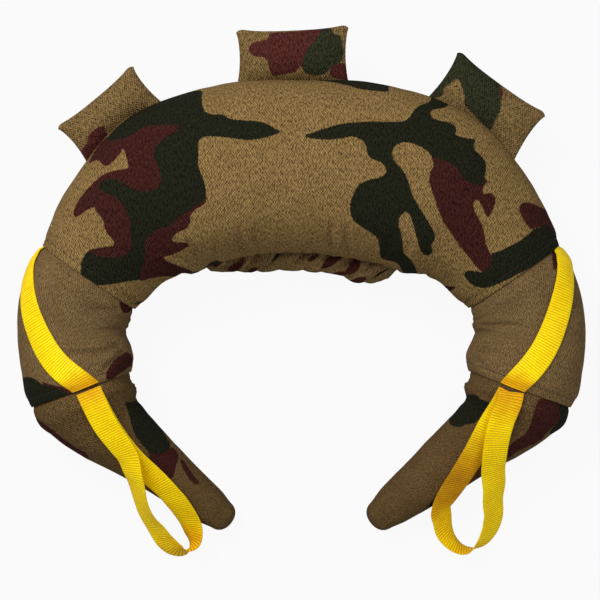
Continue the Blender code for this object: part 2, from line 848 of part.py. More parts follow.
def grip_grid(width, depth, crown, drop, inset, under):
    """Points on one face of a pillow, from its root outwards; its root falls back by drop(x)."""
    rows = []
    half = width / 2 - inset
    start = -GRIP_ROOT + inset
    end = depth - inset
    for i in range(GRIP_ALONG + 1):
        v = (1 - math.cos(math.pi * i / GRIP_ALONG)) / 2
        row = []
        for k in range(GRIP_ACROSS + 1):
            u = math.sin(math.pi * (k / GRIP_ACROSS - 0.5))
            x = u * (half - GRIP_PINCH * 4 * v * (1 - v))
            y = start + (end - start) * v
            y += (GRIP_CORNER * u ** 4 - GRIP_DIP * (1 - u * u)) * v ** 2
            y -= drop(x) * (1 - v) ** 2
            swell = (4 * v * (1 - v)) ** (1.0 if v < 0.5 else 0.6)
            rise = (crown - inset) * swell * max(1 - u * u, 0.0) ** 0.45
            z = SEAM_GAP / 2 + (rise if 0 < i < GRIP_ALONG and 0 < k < GRIP_ACROSS else 0.0)
            row.append(Vector((x, y, -z if under else z)))
        rows.append(row)
    return rows


def grip_core(width, depth, crown, drop, inset):
    """A closed pillow inside the panels, its two faces joined round the edge."""
    top = grip_grid(width, depth, crown, drop, inset, False)
    under = grip_grid(width, depth, crown, drop, inset, True)
    return panel(top, under)


def outline_normal(distance):
    """Place of the outer seam and the unit vectors along it and away from it, in plan."""
    small = CANVAS
    before = at(distance - small, centre_size(distance - small)[0], 0.0)
    after = at(distance + small, centre_size(distance + small)[0], 0.0)
    along = (after - before).normalized()
    away = Vector((-along.y, along.x, 0.0))
    return at(distance, centre_size(distance)[0], 0.0), along, away


def outline_drop(distance, x):
    """How far the outer seam falls back from its tangent, x to the side of a grip's middle."""
    middle, along, away = outline_normal(distance)
    where = distance + x
    for turn in range(6):
        point = at(where, centre_size(where)[0], 0.0) - middle
        where += (x - point.dot(along)) / 2
    return -point.dot(away)


grips = (
    ("top_grip", TOP_GRIP_PLACE, 1, TOP_GRIP_WIDTH, TOP_GRIP_DEPTH, TOP_GRIP_CROWN),
    ("left_grip", LEFT_GRIP_PLACE, -1, LEFT_GRIP_WIDTH, LEFT_GRIP_DEPTH, SIDE_GRIP_CROWN),
    ("right_grip", RIGHT_GRIP_PLACE, 1, RIGHT_GRIP_WIDTH, RIGHT_GRIP_DEPTH, SIDE_GRIP_CROWN),
)
grip_bodies = {}
for name, distance, side, width, depth, crown in grips:
    seat, along, away = outline_normal(distance)
    pivot = seat + away * (LAYER_GAP + GRIP_ROOT) + Vector((0, 0, centre_size(distance)[2]))
    pivot_here = Vector((pivot.x * side, pivot.y, pivot.z)) + SHIFT
    grip_body = body(name, pivot_here, centre_body)
    grip_bodies[name] = (pivot_here, Vector((along.x, along.y * side, 0.0)))

    def drop(x):
        return outline_drop(distance, x)

    def sewn(shape):
        points, faces = shape
        return [pivot + along * p.x + away * p.y + Vector((0, 0, p.z)) for p in points], faces

    for face_name, under in (("front", False), ("back", True)):
        outer_grid = grip_grid(width, depth, crown, drop, 0.0, under)
        inner_grid = grip_grid(width, depth, crown, drop, GRIP_SHELL, under)
        place(name + "_" + face_name, sewn(panel(outer_grid, inner_grid)),
              CANVAS_DARK_COLOUR, 0.9, grip_body, side < 0)
    place(name + "_core", sewn(grip_core(width, depth, crown, drop, GRIP_SHELL + LAYER_GAP)),
          WADDING_COLOUR, 1.0, grip_body, side < 0)

# Facts for the record: joint places and axes, and the box of the whole bag

bpy.context.view_layer.update()
for side_name, (side, leg_body, horn_body, loop_body) in bodies.items():
    heading = spine(HORN_SEAM)[2]
    hinge_line = (-side * math.sin(heading) * side, -math.cos(heading) * side, 0.0)
    for one in (leg_body, horn_body, loop_body):
        print("joint", one.name, [round(v, 5) for v in one.matrix_world.translation])
    print("loop axis", side_name, [round(v, 6) for v in hinge_line])
for name, (pivot_here, axis) in grip_bodies.items():
    print("joint", name, [round(v, 5) for v in pivot_here], "axis", [round(v, 6) for v in axis])
lows = [min((o.matrix_world @ v.co)[i] for o in bpy.data.objects if o.type == "MESH"
            for v in o.data.vertices) for i in range(3)]
highs = [max((o.matrix_world @ v.co)[i] for o in bpy.data.objects if o.type == "MESH"
             for v in o.data.vertices) for i in range(3)]
print("box", [round(v, 5) for v in lows], [round(v, 5) for v in highs])
total = 0
for o in bpy.data.objects:
    if o.type == "MESH":
        o.data.calc_loop_triangles()
        total += len(o.data.loop_triangles)
        print("triangles", o.name, len(o.data.loop_triangles))
print("triangles in all", total)
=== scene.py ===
# %% [markdown]
# # A crescent sandbag trainer in camouflage canvas
#
# The bag lies on a pale floor and is seen from straight above.  The packed
# model gives its solids and joints.  This script puts the cloth over them:
# a printed canvas skin that sags and creases, yellow ribbed webbing, three
# stuffed pillow grips and a twisted roll of gathered canvas.

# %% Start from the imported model
import math

import bmesh
import bpy
import numpy as np
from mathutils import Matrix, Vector


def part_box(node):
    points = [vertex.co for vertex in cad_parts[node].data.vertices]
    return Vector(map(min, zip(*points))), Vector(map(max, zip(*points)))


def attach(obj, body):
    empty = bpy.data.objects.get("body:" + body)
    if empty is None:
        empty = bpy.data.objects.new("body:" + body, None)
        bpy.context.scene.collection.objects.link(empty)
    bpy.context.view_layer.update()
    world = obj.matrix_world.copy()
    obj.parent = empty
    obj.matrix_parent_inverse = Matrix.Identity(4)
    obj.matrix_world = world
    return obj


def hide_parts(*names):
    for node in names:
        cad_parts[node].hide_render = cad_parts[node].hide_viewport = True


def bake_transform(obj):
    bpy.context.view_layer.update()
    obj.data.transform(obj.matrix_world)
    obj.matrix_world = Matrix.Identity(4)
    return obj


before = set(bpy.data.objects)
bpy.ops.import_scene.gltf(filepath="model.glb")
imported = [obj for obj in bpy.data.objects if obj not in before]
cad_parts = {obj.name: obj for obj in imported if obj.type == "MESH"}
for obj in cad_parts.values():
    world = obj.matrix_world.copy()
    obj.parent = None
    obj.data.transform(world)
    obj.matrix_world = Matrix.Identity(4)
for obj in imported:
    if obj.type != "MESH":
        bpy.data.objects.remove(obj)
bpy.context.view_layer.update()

# %% [markdown]
# ## The bag's lines
#
# The solids follow one centre line that bends round the wearer's neck, with a
# width and a height at each place along it.  The cloth has to follow the same
# line, so the same measurements are repeated here, in metres.  A skin could
# also be shrunk onto the solids, but a grid that knows how far along and how
# far round the bag it is can carry seams, creases and thread directions.

# %% Measurements of the bag
CANVAS = 0.0012
LAP_STEP = CANVAS + 0.00095
LAP_DEPTH = 0.028
LAP_FADE = 0.015
LEG_SEAM_WIDTH, HORN_SEAM_WIDTH = 0.126, 0.133


def swing_run(seam_width):
    """How far a nested piece's start moves along the bag when its seam swings."""
    return (seam_width / 2 - LAP_STEP) * math.sin(math.radians(10.0)) + 0.0007


LEG_RUN_ON, HORN_RUN_ON = swing_run(LEG_SEAM_WIDTH), swing_run(HORN_SEAM_WIDTH)
RUNS = np.array([0.151, 0.0905, 2 * LEG_RUN_ON + LAP_DEPTH, 0.081,
                 2 * HORN_RUN_ON + LAP_DEPTH, 0.042, 0.158])
TURNS = np.radians([24.4, 31.0, 0.0, 54.4, 0.0, 31.0, 0.5])
CROWN_END = 0.151
SHOULDER_END = CROWN_END + 0.0905 + LEG_RUN_ON
LEG_SEAM = SHOULDER_END + LAP_DEPTH
LEG_END = LEG_SEAM + LEG_RUN_ON + 0.081 + HORN_RUN_ON
HORN_SEAM = LEG_END + LAP_DEPTH
HORN_ROOT_END = HORN_SEAM + HORN_RUN_ON + 0.042
TIP = HORN_ROOT_END + 0.158
TIP_DOME = 0.014
FLAT_SHARE = 0.84
SIZE_PLACES = np.array([0.0, CROWN_END, (CROWN_END + SHOULDER_END) / 2, LEG_SEAM,
                        (LEG_SEAM + HORN_SEAM) / 2, HORN_SEAM, HORN_ROOT_END, TIP])
WIDTHS = np.array([0.195, 0.195, 0.160, LEG_SEAM_WIDTH, 0.116, HORN_SEAM_WIDTH, 0.087, 0.040])
HEIGHTS = np.array([0.150, 0.148, 0.136, 0.117, 0.110, 0.114, 0.092, 0.038])
SHIFT_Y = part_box("centre_front_panel")[1][1] - WIDTHS[0] / 2
print("leg seam at %.1f mm, horn seam at %.1f mm, tip at %.1f mm along the bag"
      % (LEG_SEAM * 1000, HORN_SEAM * 1000, TIP * 1000))

# %% Where the centre line runs, and how big the bag is there


def along_bag(distance):
    """Plan place and heading of the centre line, on the right half."""
    rest = np.abs(np.asarray(distance, float)).copy()
    x, y, heading = np.zeros_like(rest), np.zeros_like(rest), np.zeros_like(rest)
    for number, (run, turn) in enumerate(zip(RUNS, TURNS)):
        step = rest.copy() if number == len(RUNS) - 1 else np.minimum(rest, run)
        bend = turn * np.minimum(step / run, 1.0)
        chord = step * np.sinc(bend / 2 / np.pi)
        x += chord * np.cos(heading + bend / 2)
        y -= chord * np.sin(heading + bend / 2)
        heading += bend
        rest -= step
    return x, y + SHIFT_Y, heading


def through(values, place):
    """Smooth curve through the sizes at the given places."""
    slopes = np.empty(len(values))
    slopes[1:-1] = (values[2:] - values[:-2]) / (SIZE_PLACES[2:] - SIZE_PLACES[:-2])
    slopes[0] = 0.0
    slopes[-1] = (values[-1] - values[-2]) / (SIZE_PLACES[-1] - SIZE_PLACES[-2])
    place = np.clip(place, 0.0, TIP)
    i = np.clip(np.searchsorted(SIZE_PLACES, place) - 1, 0, len(values) - 2)
    span = SIZE_PLACES[i + 1] - SIZE_PLACES[i]
    t = (place - SIZE_PLACES[i]) / span
    return (values[i] * (1 + 2 * t) * (1 - t) ** 2 + slopes[i] * span * t * (1 - t) ** 2
            + values[i + 1] * (3 - 2 * t) * t ** 2 - slopes[i + 1] * span * (1 - t) * t ** 2)


def outside(distance):
    """Half width, half height, middle height and floor of the bag's outer skin."""
    place = np.abs(np.asarray(distance, float))
    half_height = through(HEIGHTS, place) / (1 + FLAT_SHARE)
    return np.array([through(WIDTHS, place) / 2, half_height, half_height * FLAT_SHARE,
                     np.zeros_like(place)])


def nested(distance, seam, run_on):
    """The same for a piece that starts under a lapped hem."""
    place = np.asarray(distance, float)
    past = np.minimum(place - seam, run_on)
    size = outside(np.full_like(place, seam))
    size[0] -= LAP_STEP
    size[1] -= LAP_STEP
    narrowing = np.sqrt(1 - (past / size[0]) ** 2)
    size[0] *= narrowing
    size[1] *= narrowing
    size[3] += LAP_STEP
    fade = np.clip((place - seam - run_on) / LAP_FADE, 0.0, 1.0)
    fade = fade * fade * (3 - 2 * fade)
    return size * (1 - fade) + outside(place) * fade


# %% [markdown]
# ## Noise, photograph places and cloth grids
#
# Cloth is never even, so several pieces need smooth bumps that are the same
# each time the script runs.  A block of seeded random numbers, read with
# smooth steps between its cells, gives them quickly for a whole grid at once.

# %% Helpers for grids of points
NOISE_CELLS = 24
SEAM_PULL, SEAM_PULL_WIDTH = 0.0030, 0.011
HEM_LINE, FOOT = 0.0007, 0.010


def bumps(points, size, seed):
    """Smooth noise from -1 to 1 over points in metres; size is one bump's width."""
    block = np.random.RandomState(seed).rand(NOISE_CELLS, NOISE_CELLS, NOISE_CELLS) * 2 - 1
    where = points / size + 100.0
    cell = np.floor(where).astype(int)
    t = where - cell
    t = t * t * (3 - 2 * t)
    total = 0.0
    for corner in np.ndindex(2, 2, 2):
        weight = 1.0
        for axis, far in enumerate(corner):
            weight = weight * (t[..., axis] if far else 1 - t[..., axis])
        x, y, z = [(cell[..., axis] + far) % NOISE_CELLS for axis, far in enumerate(corner)]
        total = total + weight * block[x, y, z]
    return total


def ease(value, low, high):
    """Smooth step from 0 at low to 1 at high."""
    t = np.clip((value - low) / (high - low), 0.0, 1.0)
    return t * t * (3 - 2 * t)


def between(value, rise, top, fall, foot):
    """Smooth step up from rise to top, and down again from fall to foot."""
    return ease(value, rise, top) * (1 - ease(value, fall, foot))


def read_table(table, value):
    """What a table of pairs gives at a value, on straight lines between its pairs."""
    return np.interp(value, *np.array(table, float).T)


def read_line(goals, places, line):
    """Rows of a line at the goals, given how far along it each of its rows is."""
    return np.stack([np.interp(goals, places, column) for column in line.T], axis=1)


def hand_of(distance):
    """-1 on the left half of the bag and 1 on the right."""
    return np.where(distance < 0, -1.0, 1.0)


def unit(vectors):
    """The same directions, each of length one."""
    return vectors / np.linalg.norm(vectors, axis=-1, keepdims=True)


def distance_along(line):
    """How far each point of a line lies from its first."""
    return np.concatenate([[0], np.cumsum(np.linalg.norm(np.diff(line, axis=0), axis=1))])


def smoothed(line, reach):
    """A line of points or vectors, each averaged with its neighbours."""
    kernel = np.hanning(2 * reach + 1)
    kernel /= kernel.sum()
    padded = np.concatenate([2 * line[:1] - line[reach:0:-1], line,
                             2 * line[-1:] - line[-2:-reach - 2:-1]])
    return np.stack([np.convolve(column, kernel, "valid") for column in padded.T], axis=1)


def curve_through(spots, before, after, beyond, shares):
    """Places on a smooth curve from each spot to the next, at shares of the way."""
    return np.stack([0.5 * (2 * spots + (after - before) * t
                            + (2 * before - 5 * spots + 4 * after - beyond) * t * t
                            + (3 * spots - before - 3 * after + beyond) * t ** 3)
                     for t in shares], axis=1)


def drawn_in(distance):
    """How far the sewn seams pull the cloth in, in metres."""
    place = np.abs(np.asarray(distance, float))
    return SEAM_PULL * sum(np.exp(-((place - seam) / SEAM_PULL_WIDTH) ** 2)
                           for seam in (LEG_SEAM, HORN_SEAM))


# Place along the bag and fullness, in mm, on the left and on the right half
INNER_SIDE = {
    -1: [(250, 0), (281, 3), (300, 6), (320, 8), (340, 8), (360, 4), (380, 0), (396, -3), (406, -6),
         (413, -9), (420, -13), (428, -12), (438, -5), (448, 2), (458, 3), (472, 0)],
    1: [(250, 0), (281, 1), (300, 4), (320, 9), (340, 10), (360, 6), (380, 1), (396, 0), (406, -3),
        (413, -6.5), (420, -10.5), (428, -9), (438, -1), (448, 5), (458, 4), (472, 0)],
}


def inner_side(places, angles, side):
    """How far the inner side of a leg or horn is filled out, in metres; less than zero is slack."""
    fullness = read_table(INNER_SIDE[side], np.asarray(places) * 1000) / 1000
    return fullness[:, None] * between(angles, 1.9, 2.8, 3.6, 4.3)[None, :]


def flush(past, run_on):
    """How far the cloth behind a hem stands up again, so that the seam is only a line."""
    return (LAP_STEP - HEM_LINE) * between(past, 0.0009, 0.0052, run_on, run_on + LAP_FADE)


def soft_floor(up, floor):
    """Heights that settle onto the floor with a rounded foot instead of an edge."""
    near = np.clip(FOOT - np.abs(up - floor), 0.0, None) / FOOT
    return np.maximum(up, floor) + near ** 2 * FOOT / 4


# Metres to a pixel of the photograph, and the pixel where the centre line starts
PIXEL = 0.00111
MIDDLE_COLUMN, TOP_ROW = 301.0, 167.1


def from_photo(spots):
    """Plan places of spots given in the photograph's pixels."""
    spots = np.asarray(spots, float)
    return np.stack([(spots[:, 0] - MIDDLE_COLUMN) * PIXEL,
                     SHIFT_Y + (TOP_ROW - spots[:, 1]) * PIXEL], axis=1)


def skin(places, angles, size, side=1, inset=0.0):
    """Grid of points round the bag, and the direction away from the bag at each."""
    half_width, half_height, middle, floor = size[..., None]
    inset = np.asarray(inset, float)
    inset = inset if inset.ndim == 2 else np.broadcast_to(inset, places.shape)[:, None]
    half_width, half_height, floor = half_width - inset, half_height - inset, floor + inset
    turn = angles[None, :]
    sideways = half_width * np.cos(turn)
    up = soft_floor(middle + half_height * np.sin(turn), floor)
    x, y, heading = [one[:, None] for one in along_bag(places)]
    hand = hand_of(places)[:, None] * side
    points = np.stack([hand * (x + sideways * np.sin(heading)),
                       y + sideways * np.cos(heading), up], axis=-1)
    out, rise = np.cos(turn) / half_width, np.sin(turn) / half_height
    away = np.stack([hand * out * np.sin(heading), out * np.cos(heading), rise], axis=-1)
    return points, away / np.hypot(out, rise)[..., None]


def even_angles(count, half_width, half_height):
    """Angles from the bottom, up the outer side and round again, evenly spaced on the cloth."""
    fine = np.linspace(-np.pi / 2, 1.5 * np.pi, 2001)
    reach = np.hypot(half_width * np.sin(fine), half_height * np.cos(fine))
    length = np.concatenate([[0], np.cumsum((reach[1:] + reach[:-1]) / 2 * (fine[1] - fine[0]))])
    return np.interp(np.linspace(0, length[-1], count), length, fine)


def new_object(name, data):
    """An object in the scene for a mesh, a lamp or a camera."""
    made = bpy.data.objects.new(name, data)
    bpy.context.collection.objects.link(made)
    return made


def cloth_object(name, grid, cloth, facts=None):
    """A mesh from a grid whose last column is its first again.

    Cloth places go in a UV map, facts in attributes.
    """
    rows, columns = grid.shape[:2]
    wide = columns - 1
    points = grid[:, :wide].reshape(-1, 3)
    i, k = np.meshgrid(np.arange(rows - 1), np.arange(columns - 1), indexing="ij")
    i, k = i.ravel(), k.ravel()
    after = (k + 1) % wide
    quads = np.stack([i * wide + k, i * wide + after, (i + 1) * wide + after, (i + 1) * wide + k], 1)
    corners = np.stack([i * columns + k, i * columns + k + 1,
                        (i + 1) * columns + k + 1, (i + 1) * columns + k], 1)
    a, b, c, d = [points[quads[:, n]] - points.mean(0) for n in range(4)]
    volume = (a * np.cross(b, c)).sum() + (a * np.cross(c, d)).sum()
    if volume < 0:
        quads, corners = quads[:, ::-1], corners[:, ::-1]
    mesh = bpy.data.meshes.new(name)
    mesh.from_pydata(points.tolist(), [], quads.tolist())
    layer = mesh.uv_layers.new(name="cloth")
    layer.data.foreach_set("uv", cloth.reshape(-1, 2)[corners.ravel()].astype(np.float32).ravel())
    for fact, values in (facts or {}).items():
        attribute = mesh.attributes.new(fact, "FLOAT", "POINT")
        attribute.data.foreach_set("value", values[:, :wide].astype(np.float32).ravel())
    mesh.shade_smooth()
    return new_object(name, mesh)

# %% [markdown]
# ## The camouflage print
#
# Woodland camouflage is a common print: large dark green and maroon patches
# on a tan ground.  The patches here follow the outlines that the patches of
# this bag have, as rounded loops in the plan view.  Each point of the cloth
# stores how far inside or outside the nearest outline it is, and the material
# turns that distance into a crisp edge.  On the sides and the back, which the
# outlines don't reach, seeded noise carries the print on.

# %% Outlines of the patches, in pixels of the plan view
CENTRE_GREEN = [
    [(108, 141), (112, 134), (120, 126), (135, 114), (150, 105), (165, 98), (185, 92), (202, 92),
     (203, 100), (204, 108), (207, 115), (215, 118), (224, 118), (230, 122), (243, 124), (258, 125),
     (268, 128), (275, 132), (281, 136), (274, 139), (264, 142), (252, 144), (240, 143), (225, 141),
     (210, 140), (203, 142), (200.5, 148), (201, 158), (201, 168), (204, 178), (207, 186),
     (208.5, 196), (206, 203), (198, 208), (190, 214), (182, 219), (177, 225), (170, 229),
     (163, 230), (156, 234), (150, 239), (147, 246), (148, 254), (146, 262), (143, 270), (142, 279),
     (133, 281), (122, 283), (110, 285), (98, 286), (89, 285), (84, 281), (84, 270), (85, 262),
     (88, 256), (92, 252), (100, 256), (110, 258), (120, 258), (128, 256), (133, 251), (135, 244),
     (134, 232), (133, 220), (129, 210), (124, 203), (117, 198), (108, 194), (103, 191), (103, 186),
     (108, 182), (116, 181), (124, 184), (132, 189), (140, 193), (150, 194), (158, 192), (163, 188),
     (164, 178), (161, 168), (157, 160), (158, 152), (163, 145), (170, 139), (177, 136), (181, 131),
     (176, 128), (160, 128), (148, 129), (140, 133), (133, 138), (124, 141), (115, 142)],
    [(134, 304), (142, 301), (150, 298), (158, 292), (166, 285), (174, 279), (183, 275),
     (193, 272.5), (203, 270), (212, 262), (222, 262), (230, 270), (222, 280), (204, 284),
     (190, 290), (170, 296), (150, 304)],
    [(303, 140), (315, 135.5), (325, 132), (335, 129), (345, 127), (357, 126), (372, 125),
     (390, 125.5), (402, 124.5), (408, 120), (411, 115), (416, 109.5), (423, 106), (429, 102.5),
     (432, 96), (440, 94), (448, 103), (445, 108.5), (438, 111), (431, 112.5), (428.5, 116),
     (430.5, 121), (437, 123.5), (446, 125), (452, 128), (454, 133), (452.5, 137), (457, 139.5),
     (464, 141), (472.5, 142), (470.5, 148), (473, 154), (478, 158), (482, 163), (483, 170),
     (481.5, 178), (480, 187), (472, 187), (464, 184), (458, 179), (454, 172), (447, 166),
     (438, 162.5), (429, 160), (426, 156), (419, 151), (411, 147.5), (403, 146), (396, 147.5),
     (391.5, 152), (390, 158), (392.5, 164.5), (397.5, 170), (402.5, 177), (406, 185), (408.5, 194),
     (412, 202), (417, 210), (422, 218), (427, 226), (431, 233), (432.5, 240), (429, 246),
     (430.5, 252), (427, 256), (421, 254.5), (417, 248), (414.5, 240), (412, 231), (409.5, 223),
     (407, 216.5), (403, 214), (398.5, 217.5), (396.5, 225), (399, 235), (401, 245), (402, 253),
     (408, 259), (414, 267), (418, 276), (420, 284), (411, 281), (404, 275), (397, 264), (388, 261),
     (380, 258), (378.5, 249), (376, 240), (368, 233), (360, 228), (352.5, 222), (349, 213),
     (349.5, 204), (352, 197), (355.5, 190), (360.5, 185.5), (368, 182.5), (376, 181),
     (382.5, 177.5), (384, 172), (380.5, 167), (373, 163.5), (366.5, 159.5), (365, 152),
     (362.5, 146), (357, 142), (350, 140.5), (338, 142.5), (325, 143.5), (313, 142.5)],
    [(462, 274), (466, 271), (474, 272), (481, 272), (487, 266), (489, 260), (488, 254.5),
     (496, 252), (506, 247), (516, 242), (524, 236), (530, 230.5), (537, 227.5), (545, 226),
     (553, 232), (560, 240), (566, 250), (540, 262), (520, 272), (500, 282), (484, 288), (472, 286),
     (465, 280)],
    [(318, 70), (345, 72), (375, 76), (387, 80), (388, 90.5), (386, 94), (378, 93.5), (362, 92),
     (348, 88), (335, 84.5), (325, 82.5), (315, 80)],
]
CENTRE_MAROON = [
    [(90, 164), (97, 162), (102, 163), (106, 167), (110, 168.5), (114, 166), (119, 161), (123, 156),
     (126.5, 150.5), (129, 158), (131, 165), (131.5, 170.5), (122, 172.5), (112, 174.5), (104, 178),
     (97, 184), (88, 193), (82, 201), (77, 210), (76.5, 216.5), (81, 218), (87, 213.5), (93, 210),
     (98, 209), (101, 214), (105, 219), (107.5, 224), (108.5, 230), (112, 236), (116, 241),
     (117, 246.5), (108, 248), (98, 249.5), (90, 253), (96, 262), (120, 264), (140, 256),
     (142, 236), (140, 214), (134, 202), (140, 198), (152, 199), (166, 196), (170, 180), (168, 160),
     (174, 146), (188, 134), (184, 124), (165, 122), (145, 122), (125, 132), (108, 138), (98, 148)],
    [(209, 199), (207, 206), (201, 210), (196, 213.5), (193, 218), (193, 223), (190, 228.5),
     (185, 232), (179, 235), (174.5, 240.5), (178, 243), (186, 243.5), (190.5, 245), (188, 249),
     (180, 253), (172, 256), (166, 258), (169, 261.5), (176, 264.5), (184, 268), (193, 272),
     (184, 275.5), (174, 276.5), (162, 277), (152, 278.5), (143, 281), (138, 276), (138, 262),
     (142, 246), (146, 234), (158, 224), (172, 220), (186, 210), (200, 200)],
    [(428, 157), (440, 160), (456, 168), (470, 180), (484, 182), (480, 189), (479.5, 196),
     (486, 195), (491, 198), (491.5, 205), (489, 212), (485, 218.5), (482, 217), (479, 210),
     (475, 203), (472, 201.5), (470, 206), (471, 213), (475, 220), (479, 228), (481, 237),
     (483, 246), (487, 254), (492, 262), (484, 274), (474, 268), (468, 260), (461, 252), (454, 243),
     (447, 233), (440, 223), (435.5, 213), (432, 203), (428.5, 193), (426, 184), (427, 176),
     (430.5, 168)],
    [(516, 212), (517.5, 206), (522, 203.5), (530, 204.5), (540, 208), (552, 212), (566, 226),
     (572, 240), (560, 246), (556, 254), (550, 250), (552, 240), (545, 230), (536, 228), (528, 230),
     (521, 222)],
    [(424, 282), (432, 284), (440, 285), (448, 286), (455, 287), (449, 292), (444, 296), (436, 294),
     (428, 289)],
]
LEG_GREEN = {
    "left": [[(14, 380), (22, 378), (30, 376.5), (38, 379), (46, 384), (54, 386), (62, 388),
              (70, 392), (76, 397), (64, 402), (52, 408), (40, 413), (30, 416), (20, 414), (14, 400)]],
    "right": [],
}
LEG_MAROON = {
    "left": [[(128, 352), (122, 355), (116, 360), (110, 368), (108, 376), (112, 380), (120, 374),
              (128, 368), (134, 362)],
             [(121, 302), (130, 300), (136, 304), (130, 312), (124, 312)],
             [(44, 381), (52, 383), (60, 385), (70, 388), (78, 396), (70, 400), (60, 396), (50, 390)]],
    "right": [[(551, 247), (556, 244), (558, 252), (556, 262), (552, 272), (550, 262)]],
}
HORN_GREEN = {
    "left": [[(126, 402), (132, 402), (138, 400), (142, 404), (148, 412), (156, 422), (164, 436),
              (170, 446), (166, 452), (158, 454), (150, 452), (144, 446), (138, 438), (134, 430),
              (131, 420), (129, 412)]],
    "right": [[(556, 403), (566, 406), (578, 411), (584, 414), (580, 424), (570, 434), (560, 438),
               (552, 436), (549, 430), (556, 422), (559, 413)],
              [(458, 394), (466, 395), (474, 394), (480, 399), (488, 402), (484, 408), (480, 416),
               (474, 422), (466, 424), (458, 427), (450, 424), (452, 412), (455, 402)]],
}
HORN_MAROON = {
    "left": [[(36, 418), (44, 422), (52, 428), (60, 435), (68, 441), (78, 448), (88, 454), (84, 462),
              (70, 458), (50, 448), (34, 436), (30, 424)],
             [(150, 450), (158, 452), (166, 450), (172, 448), (178, 456), (176, 466), (174, 474),
              (170, 480), (164, 476), (156, 466), (150, 458)],
             [(181, 460), (185, 464), (190, 472), (197, 481), (199, 485), (195, 485), (189, 480),
              (183, 470), (180, 463)]],
    "right": [[(536, 398), (546, 399), (556, 402), (560, 412), (556, 422), (548, 430), (540, 440),
               (528, 446), (516, 452), (508, 458), (506, 448), (514, 440), (522, 434), (528, 424),
               (531, 412)],
              [(430, 506), (436, 500), (442, 492), (448, 490), (446, 500), (440, 508), (434, 514)]],
}
GRIP_GREEN = {
    "top": [[(322, 28), (330, 29), (334, 34), (340, 37), (342, 44), (343, 52), (342, 60), (339, 64),
             (332, 67), (328, 72), (322, 76), (310, 76), (304, 72), (303, 64), (305, 56), (310, 48),
             (316, 40), (320, 34)]],
    "left": [],
    "right": [[(416, 100), (422, 86), (432, 74), (440, 64), (446, 54), (452, 44), (461, 41), (471, 47),
               (480, 57), (488, 65), (494, 73), (498, 79), (499, 86), (499, 95), (500, 104),
               (498, 114), (494, 122), (488, 130), (470, 112), (464, 106), (464, 98), (461, 88),
               (457, 80), (450, 84), (443, 90), (442, 96), (436, 98)]],
}
GRIP_MAROON = {
    "top": [[(268, 40), (272, 34), (300, 32), (322, 28), (326, 36), (318, 50), (310, 62), (306, 72),
             (299, 66.5), (296, 73), (285, 75), (274, 77), (270, 72), (268, 64), (264, 59),
             (256, 58), (250, 54), (249, 49), (253, 44), (260, 42)],
            [(332, 66), (340, 64), (346, 66), (348, 76), (350, 82), (340, 80), (330, 76)]],
    "left": [[(88, 144), (90, 136), (96, 130), (104, 127), (107, 133), (110, 138), (107, 144),
              (100, 152), (94, 160), (88, 166), (84, 158), (82, 150)]],
    "right": [[(484, 76), (492, 80), (500, 86), (502, 94), (500, 104), (497, 96), (494, 88),
               (488, 84)]],
}

# %% Distance to the nearest outline
OUTLINE_SHARES = (0.0, 0.25, 0.5, 0.75)
FAR_OUTSIDE, OUTLINE_REACH = -60.0, 0.03
# How far under the bag's middle height the drawn patches start and end to give way to noise
PATCH_FOOT, PATCH_TOP = 0.030, 0.006
PATCH_SIZE, DRIFT_SIZE, DRIFT, PATCH_SCALE = 0.085, 0.05, 0.018, 60


def rounded(outline):
    """A closed outline drawn as a smooth curve through its spots."""
    spots = from_photo(outline)
    before, after, beyond = [np.roll(spots, shift, 0) for shift in (1, -1, -2)]
    return curve_through(spots, before, after, beyond, OUTLINE_SHARES).reshape(-1, 2)


def inside_by(plan, outlines):
    """How far inside the nearest outline each point is, in millimetres; outside is below zero."""
    best = np.full(len(plan), FAR_OUTSIDE)
    for outline in outlines:
        a = rounded(outline)
        low, high = a.min(0) - OUTLINE_REACH, a.max(0) + OUTLINE_REACH
        near = np.all((plan > low) & (plan < high), axis=1)
        if not near.any():
            continue
        here = plan[near]
        nearest = np.full(len(here), 1e9)
        crossings = np.zeros(len(here), bool)
        for p, q in zip(a, np.roll(a, -1, 0)):
            edge = q - p
            t = np.clip(((here - p) @ edge) / (edge @ edge + 1e-12), 0, 1)
            gap = here - p - t[:, None] * edge
            nearest = np.minimum(nearest, (gap * gap).sum(1))
            if p[1] != q[1]:
                meets = (here[:, 1] < p[1]) != (here[:, 1] < q[1])
                crossings ^= meets & (here[:, 0] < p[0] + (here[:, 1] - p[1]) * edge[0] / edge[1])
        signed = np.sqrt(nearest) * 1000 * np.where(crossings, 1, -1)
        best[near] = np.maximum(best[near], signed)
    return best


def camouflage(points, middle, green, maroon, seed):
    """Distances that draw the two dark colours of the print on a grid of points."""
    shape = points.shape[:-1]
    flat = points.reshape(-1, 3)
    middle = np.broadcast_to(middle, shape).ravel()
    top = ease(flat[:, 2], middle - PATCH_FOOT, middle - PATCH_TOP)
    facts = {}
    for name, outlines, extra, level in (("green", green, 0, 0.10), ("maroon", maroon, 5, 0.22)):
        drift = np.stack([bumps(flat, DRIFT_SIZE, seed + extra + 7 + k) for k in range(3)], 1) * DRIFT
        rest = (bumps(flat + drift, PATCH_SIZE, seed + extra) - level) * PATCH_SCALE
        drawn = inside_by(flat[:, :2], outlines)
        facts[name] = (drawn * top + rest * (1 - top)).reshape(shape)
    return facts

# %% [markdown]
# ## Colours and materials
#
# Colours are written as the hex values that the eye sees and turned to the
# linear numbers that the renderer works with by one function.  Another small
# function adds a shader node with its settings and links, so that each
# material below reads as a list of what it does.

# %% Colour and node helpers


